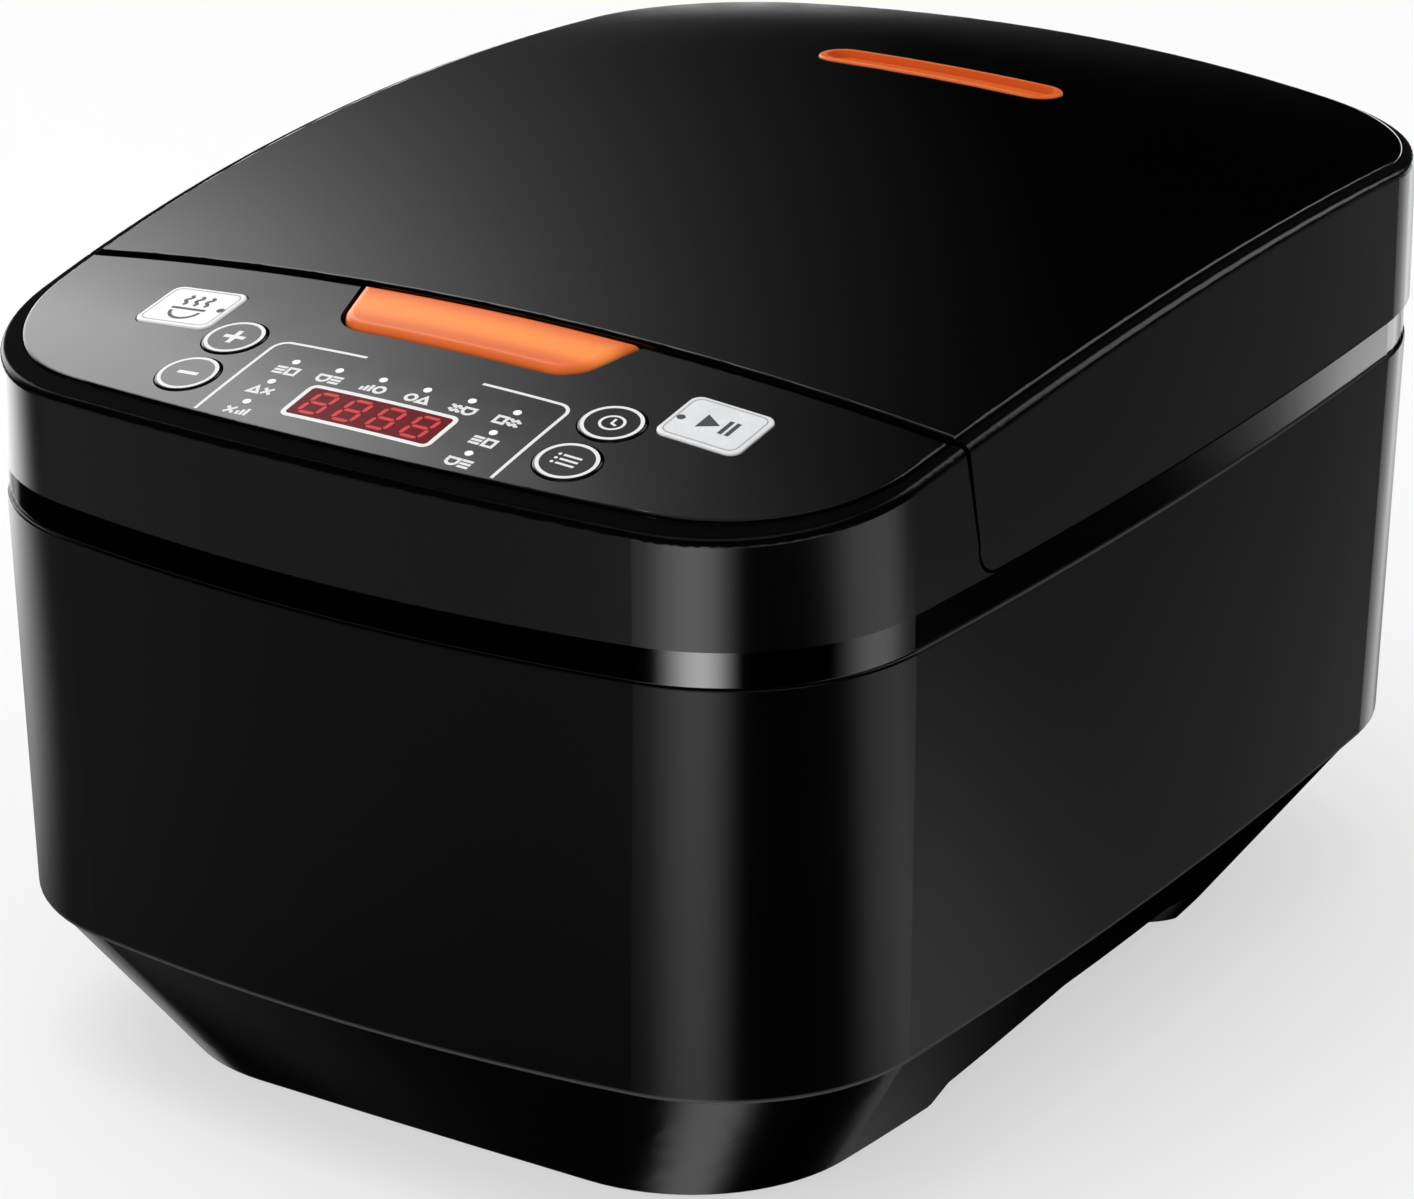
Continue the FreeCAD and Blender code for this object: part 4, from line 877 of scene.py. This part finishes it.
class COOKER_OT_keys(CookerOperator, bpy.types.Operator):
    """Key caps with their rings and plain marks"""
    bl_idname = "cooker.keys"
    bl_label = "Keys"

    RING_R = 7.45
    BORDER_HALF_X = 10.6
    BORDER_HALF_Y = 8.7
    BORDER_CORNER = 2.4
    BORDER_WIDTH = 0.35

    def execute(self, context):
        sizes = context.scene.cooker_sizes
        colours = context.scene.cooker_colours
        dress("key_dark", moulded("key_dark", shade(colours.panel, 1.5), 0.12, 0.5))
        dress("key_white", pearl("key_pearl", colours.key_white))
        white = ink("key_print_white", colours.print_white)
        dark = ink("key_print_dark", (0.05, 0.05, 0.055))
        grey = ink("key_border_grey", (0.33, 0.33, 0.34))
        for name, (x, y) in ROUND_KEYS.items():
            sheet = Print(on_key(x, y), sizes.print_lift)
            sheet.line(circle(0, 0, self.RING_R, 48), sizes.key_ring / MM, True)
            getattr(self, name)(sheet)
            sheet.finish(name + "_print", name, white, "light_white")
        for name, (x, y) in SQUARE_KEYS.items():
            sheet = Print(on_key(x, y), sizes.print_lift)
            getattr(self, name)(sheet)
            sheet.finish(name + "_print", name, dark, "key_dark")
            border = Print(on_key(x, y), sizes.print_lift)
            outline = round_corners(self.BORDER_HALF_X, self.BORDER_HALF_Y, self.BORDER_CORNER)
            border.line(outline, self.BORDER_WIDTH, True)
            border.finish(name + "_border", name, grey, "key_dark")
        return {"FINISHED"}

    def key_plus(self, sheet):
        arm, half = 3.2, 0.75
        sheet.plate([(half, -arm), (half, -half), (arm, -half), (arm, half), (half, half), (half, arm),
                     (-half, arm), (-half, half), (-arm, half), (-arm, -half), (-half, -half), (-half, -arm)])

    def key_minus(self, sheet):
        sheet.line([(-3.1, 0), (3.1, 0)], 1.4)

    def key_right_upper(self, sheet):
        sheet.line(circle(0, 0, 3.1, 32), 0.75, True)
        sheet.line([(0, 1.9), (0, -0.3), (1.5, -0.9)], 0.7)

    def key_right_lower(self, sheet):
        for rise in (-1.9, 0.0, 1.9):
            sheet.line([(-2.2, rise), (3.0, rise)], 0.8)
            sheet.plate(circle(-3.3, rise, 0.5, 14))

    def key_left_square(self, sheet):
        stroke = 1.05
        for shift in (-3.4, 0.0, 3.4):
            sheet.line([(shift + 0.6 * math.sin(k * 0.9), 0.6 + 0.46 * k) for k in range(12)], stroke)
        sheet.line([(-5.4, -1.3), (5.4, -1.3)], stroke)
        sheet.line(arc(0, -1.9, 4.6, 190, 350, 14), stroke)
        sheet.plate(circle(9.4, 0.0, 1.15, 18))

    def key_right_square(self, sheet):
        sheet.plate([(-3.9, -3.3), (1.3, 0.0), (-3.9, 3.3)])
        for across in (3.0, 5.0):
            sheet.line([(across, -3.2), (across, 3.2)], 1.2)
        sheet.plate(circle(-9.2, -1.1, 1.15, 18))


class COOKER_OT_orange(CookerOperator, bpy.types.Operator):
    """Release button and steam cap"""
    bl_idname = "cooker.orange"
    bl_label = "Orange pieces"

    def execute(self, context):
        colours = context.scene.cooker_colours
        low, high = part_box("release_button")
        # The button gets a painted highlight along its middle; the steam cap lies far behind that band and
        # keeps the plain orange
        dress("orange_gloss", gloss_with_painted_highlight("orange_gloss", colours.orange, low.y, high.y))
        return {"FINISHED"}


class COOKER_OT_cooking_parts(CookerOperator, bpy.types.Operator):
    """Pot, well, heater, sensor and the underside of the lid"""
    bl_idname = "cooker.cooking_parts"
    bl_label = "Cooking parts"

    def execute(self, context):
        dress("pot_nonstick", nonstick("pot_coat", (0.030, 0.029, 0.029)))
        dress("well_aluminium", spun("well_metal", (0.60, 0.60, 0.61), 0.38, POT_Y))
        dress("heater_aluminium", spun("heater_metal", (0.58, 0.58, 0.59), 0.42, POT_Y, 0.0012))
        dress("sensor_aluminium", spun("sensor_metal", (0.70, 0.70, 0.71), 0.30, POT_Y, 0.0007))
        dress("plate_aluminium", spun("lid_plate_metal", (0.74, 0.74, 0.75), 0.30, POT_Y))
        dress("liner_grey", textured("liner_matt", (0.045, 0.045, 0.048), 0.5))
        dress("seal_silicone", silicone("seal", (0.55, 0.55, 0.54)))
        return {"FINISHED"}


class COOKER_OT_fittings(CookerOperator, bpy.types.Operator):
    """Hinge, latch, screws, boards and the power socket"""
    bl_idname = "cooker.fittings"
    bl_label = "Fittings"

    def execute(self, context):
        dress("screw_steel", brushed("screw_plate", (0.55, 0.55, 0.56), 0.34, (6, 6, 6)))
        dress("bracket_steel", brushed("bracket_zinc", (0.52, 0.52, 0.54), 0.40))
        dress("pin_steel", brushed("pin_ground", (0.62, 0.62, 0.63), 0.28, (2, 40, 40)))
        dress("pin_brass", brushed("pin_brass", (0.78, 0.60, 0.28), 0.28, (20, 1, 20)))
        dress("board_green", circuit("board_green", (0.02, 0.11, 0.045)))
        dress("switch_dark", textured("switch_body", (0.03, 0.03, 0.03), 0.6))
        dress("parts_dark", textured("board_parts", (0.05, 0.05, 0.06), 0.55))
        dress("inlet_black", textured("socket_moulding", (0.012, 0.012, 0.013), 0.5))
        dress("hook_grey", textured("hook_slippery", (0.50, 0.50, 0.49), 0.45, 0.0006, 0.00001))
        return {"FINISHED"}


class COOKER_OT_springs(CookerOperator, bpy.types.Operator):
    """Wound springs under the release button and the temperature sensor"""
    bl_idname = "cooker.springs"
    bl_label = "Springs"

    # Node, wire thickness, turns, the joint that presses it, and the share of its height that is then left
    SPRINGS = (("button_spring", 0.0014, 5.5, "button_press", 0.77),
               ("sensor_spring", 0.0025, 4.5, "sensor_press", 0.87))
    STEPS_PER_TURN = 28
    WIRE_SIDES = 8

    def execute(self, context):
        made = brushed("spring_wire", (0.45, 0.45, 0.46), 0.38)
        dress("spring_steel", made)
        for node, wire, turns, joint, keep in self.SPRINGS:
            low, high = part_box(node)
            data = self.coil(node + "_coil", low, high, wire, turns)
            data.materials.append(made.material)
            piece = link(bpy.data.objects.new(node + "_coil", data))
            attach(piece, "body")
            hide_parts(node)
            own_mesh(piece)
        return {"FINISHED"}

    def coil(self, name, low, high, wire, turns):
        """Upright coil that fills a box, with its first and last turn closed up."""
        middle = (low + high) / 2
        radius = (high.x - low.x - wire) / 2
        # Each closed turn rises by the wire's thickness, and half of that is left at both ends
        pitch = (high.z - low.z - 3 * wire) / (turns - 2)
        count = round(turns * self.STEPS_PER_TURN)
        mesh = bmesh.new()
        rings = []
        for k in range(count + 1):
            turn = turns * k / count
            closed = min(turn, 1) + max(0, turn - turns + 1)
            rise = wire / 2 + wire * closed + pitch * (turn - closed)
            out = Vector((math.cos(turn * math.tau), math.sin(turn * math.tau), 0))
            centre = Vector((middle.x, middle.y, low.z + rise)) + out * radius
            section = [math.tau * side / self.WIRE_SIDES for side in range(self.WIRE_SIDES)]
            ways = [out * math.cos(way) + Vector((0, 0, math.sin(way))) for way in section]
            rings.append([mesh.verts.new(centre + way * wire / 2) for way in ways])
        for first, second in zip(rings, rings[1:]):
            for k in range(self.WIRE_SIDES):
                mesh.faces.new((first[k - 1], first[k], second[k], second[k - 1])).smooth = True
        mesh.faces.new(rings[0])
        mesh.faces.new(rings[-1])
        bmesh.ops.recalc_face_normals(mesh, faces=mesh.faces[:])
        data = bpy.data.meshes.new(name)
        mesh.to_mesh(data)
        mesh.free()
        return data


class COOKER_PT_panel(bpy.types.Panel):
    """Steps that finish the cooker"""
    bl_idname = "COOKER_PT_panel"
    bl_label = "Rice cooker"
    bl_space_type = "VIEW_3D"
    bl_region_type = "UI"
    bl_category = "Cooker"

    def draw(self, context):
        for step in STEPS:
            self.layout.operator(step.bl_idname)


GROUPS = {"cooker_sizes": CookerSizes, "cooker_colours": CookerColours, "cooker_stage": CookerStage}
STEPS = (COOKER_OT_stage, COOKER_OT_casing, COOKER_OT_top_sheets, COOKER_OT_panel_print, COOKER_OT_display,
         COOKER_OT_keys, COOKER_OT_orange, COOKER_OT_cooking_parts, COOKER_OT_fittings, COOKER_OT_springs)


def register():
    for group in GROUPS.values():
        bpy.utils.register_class(group)
    for name, group in GROUPS.items():
        setattr(bpy.types.Scene, name, PointerProperty(type=group))
    for step in STEPS:
        bpy.utils.register_class(step)
    bpy.utils.register_class(COOKER_PT_panel)


def unregister():
    bpy.utils.unregister_class(COOKER_PT_panel)
    for step in reversed(STEPS):
        bpy.utils.unregister_class(step)
    for name in GROUPS:
        delattr(bpy.types.Scene, name)
    for group in reversed(GROUPS.values()):
        bpy.utils.unregister_class(group)


def main():
    register()
    for step in STEPS:
        group, name = step.bl_idname.split(".")
        getattr(getattr(bpy.ops, group), name)()


if __name__ == "__main__":
    main()
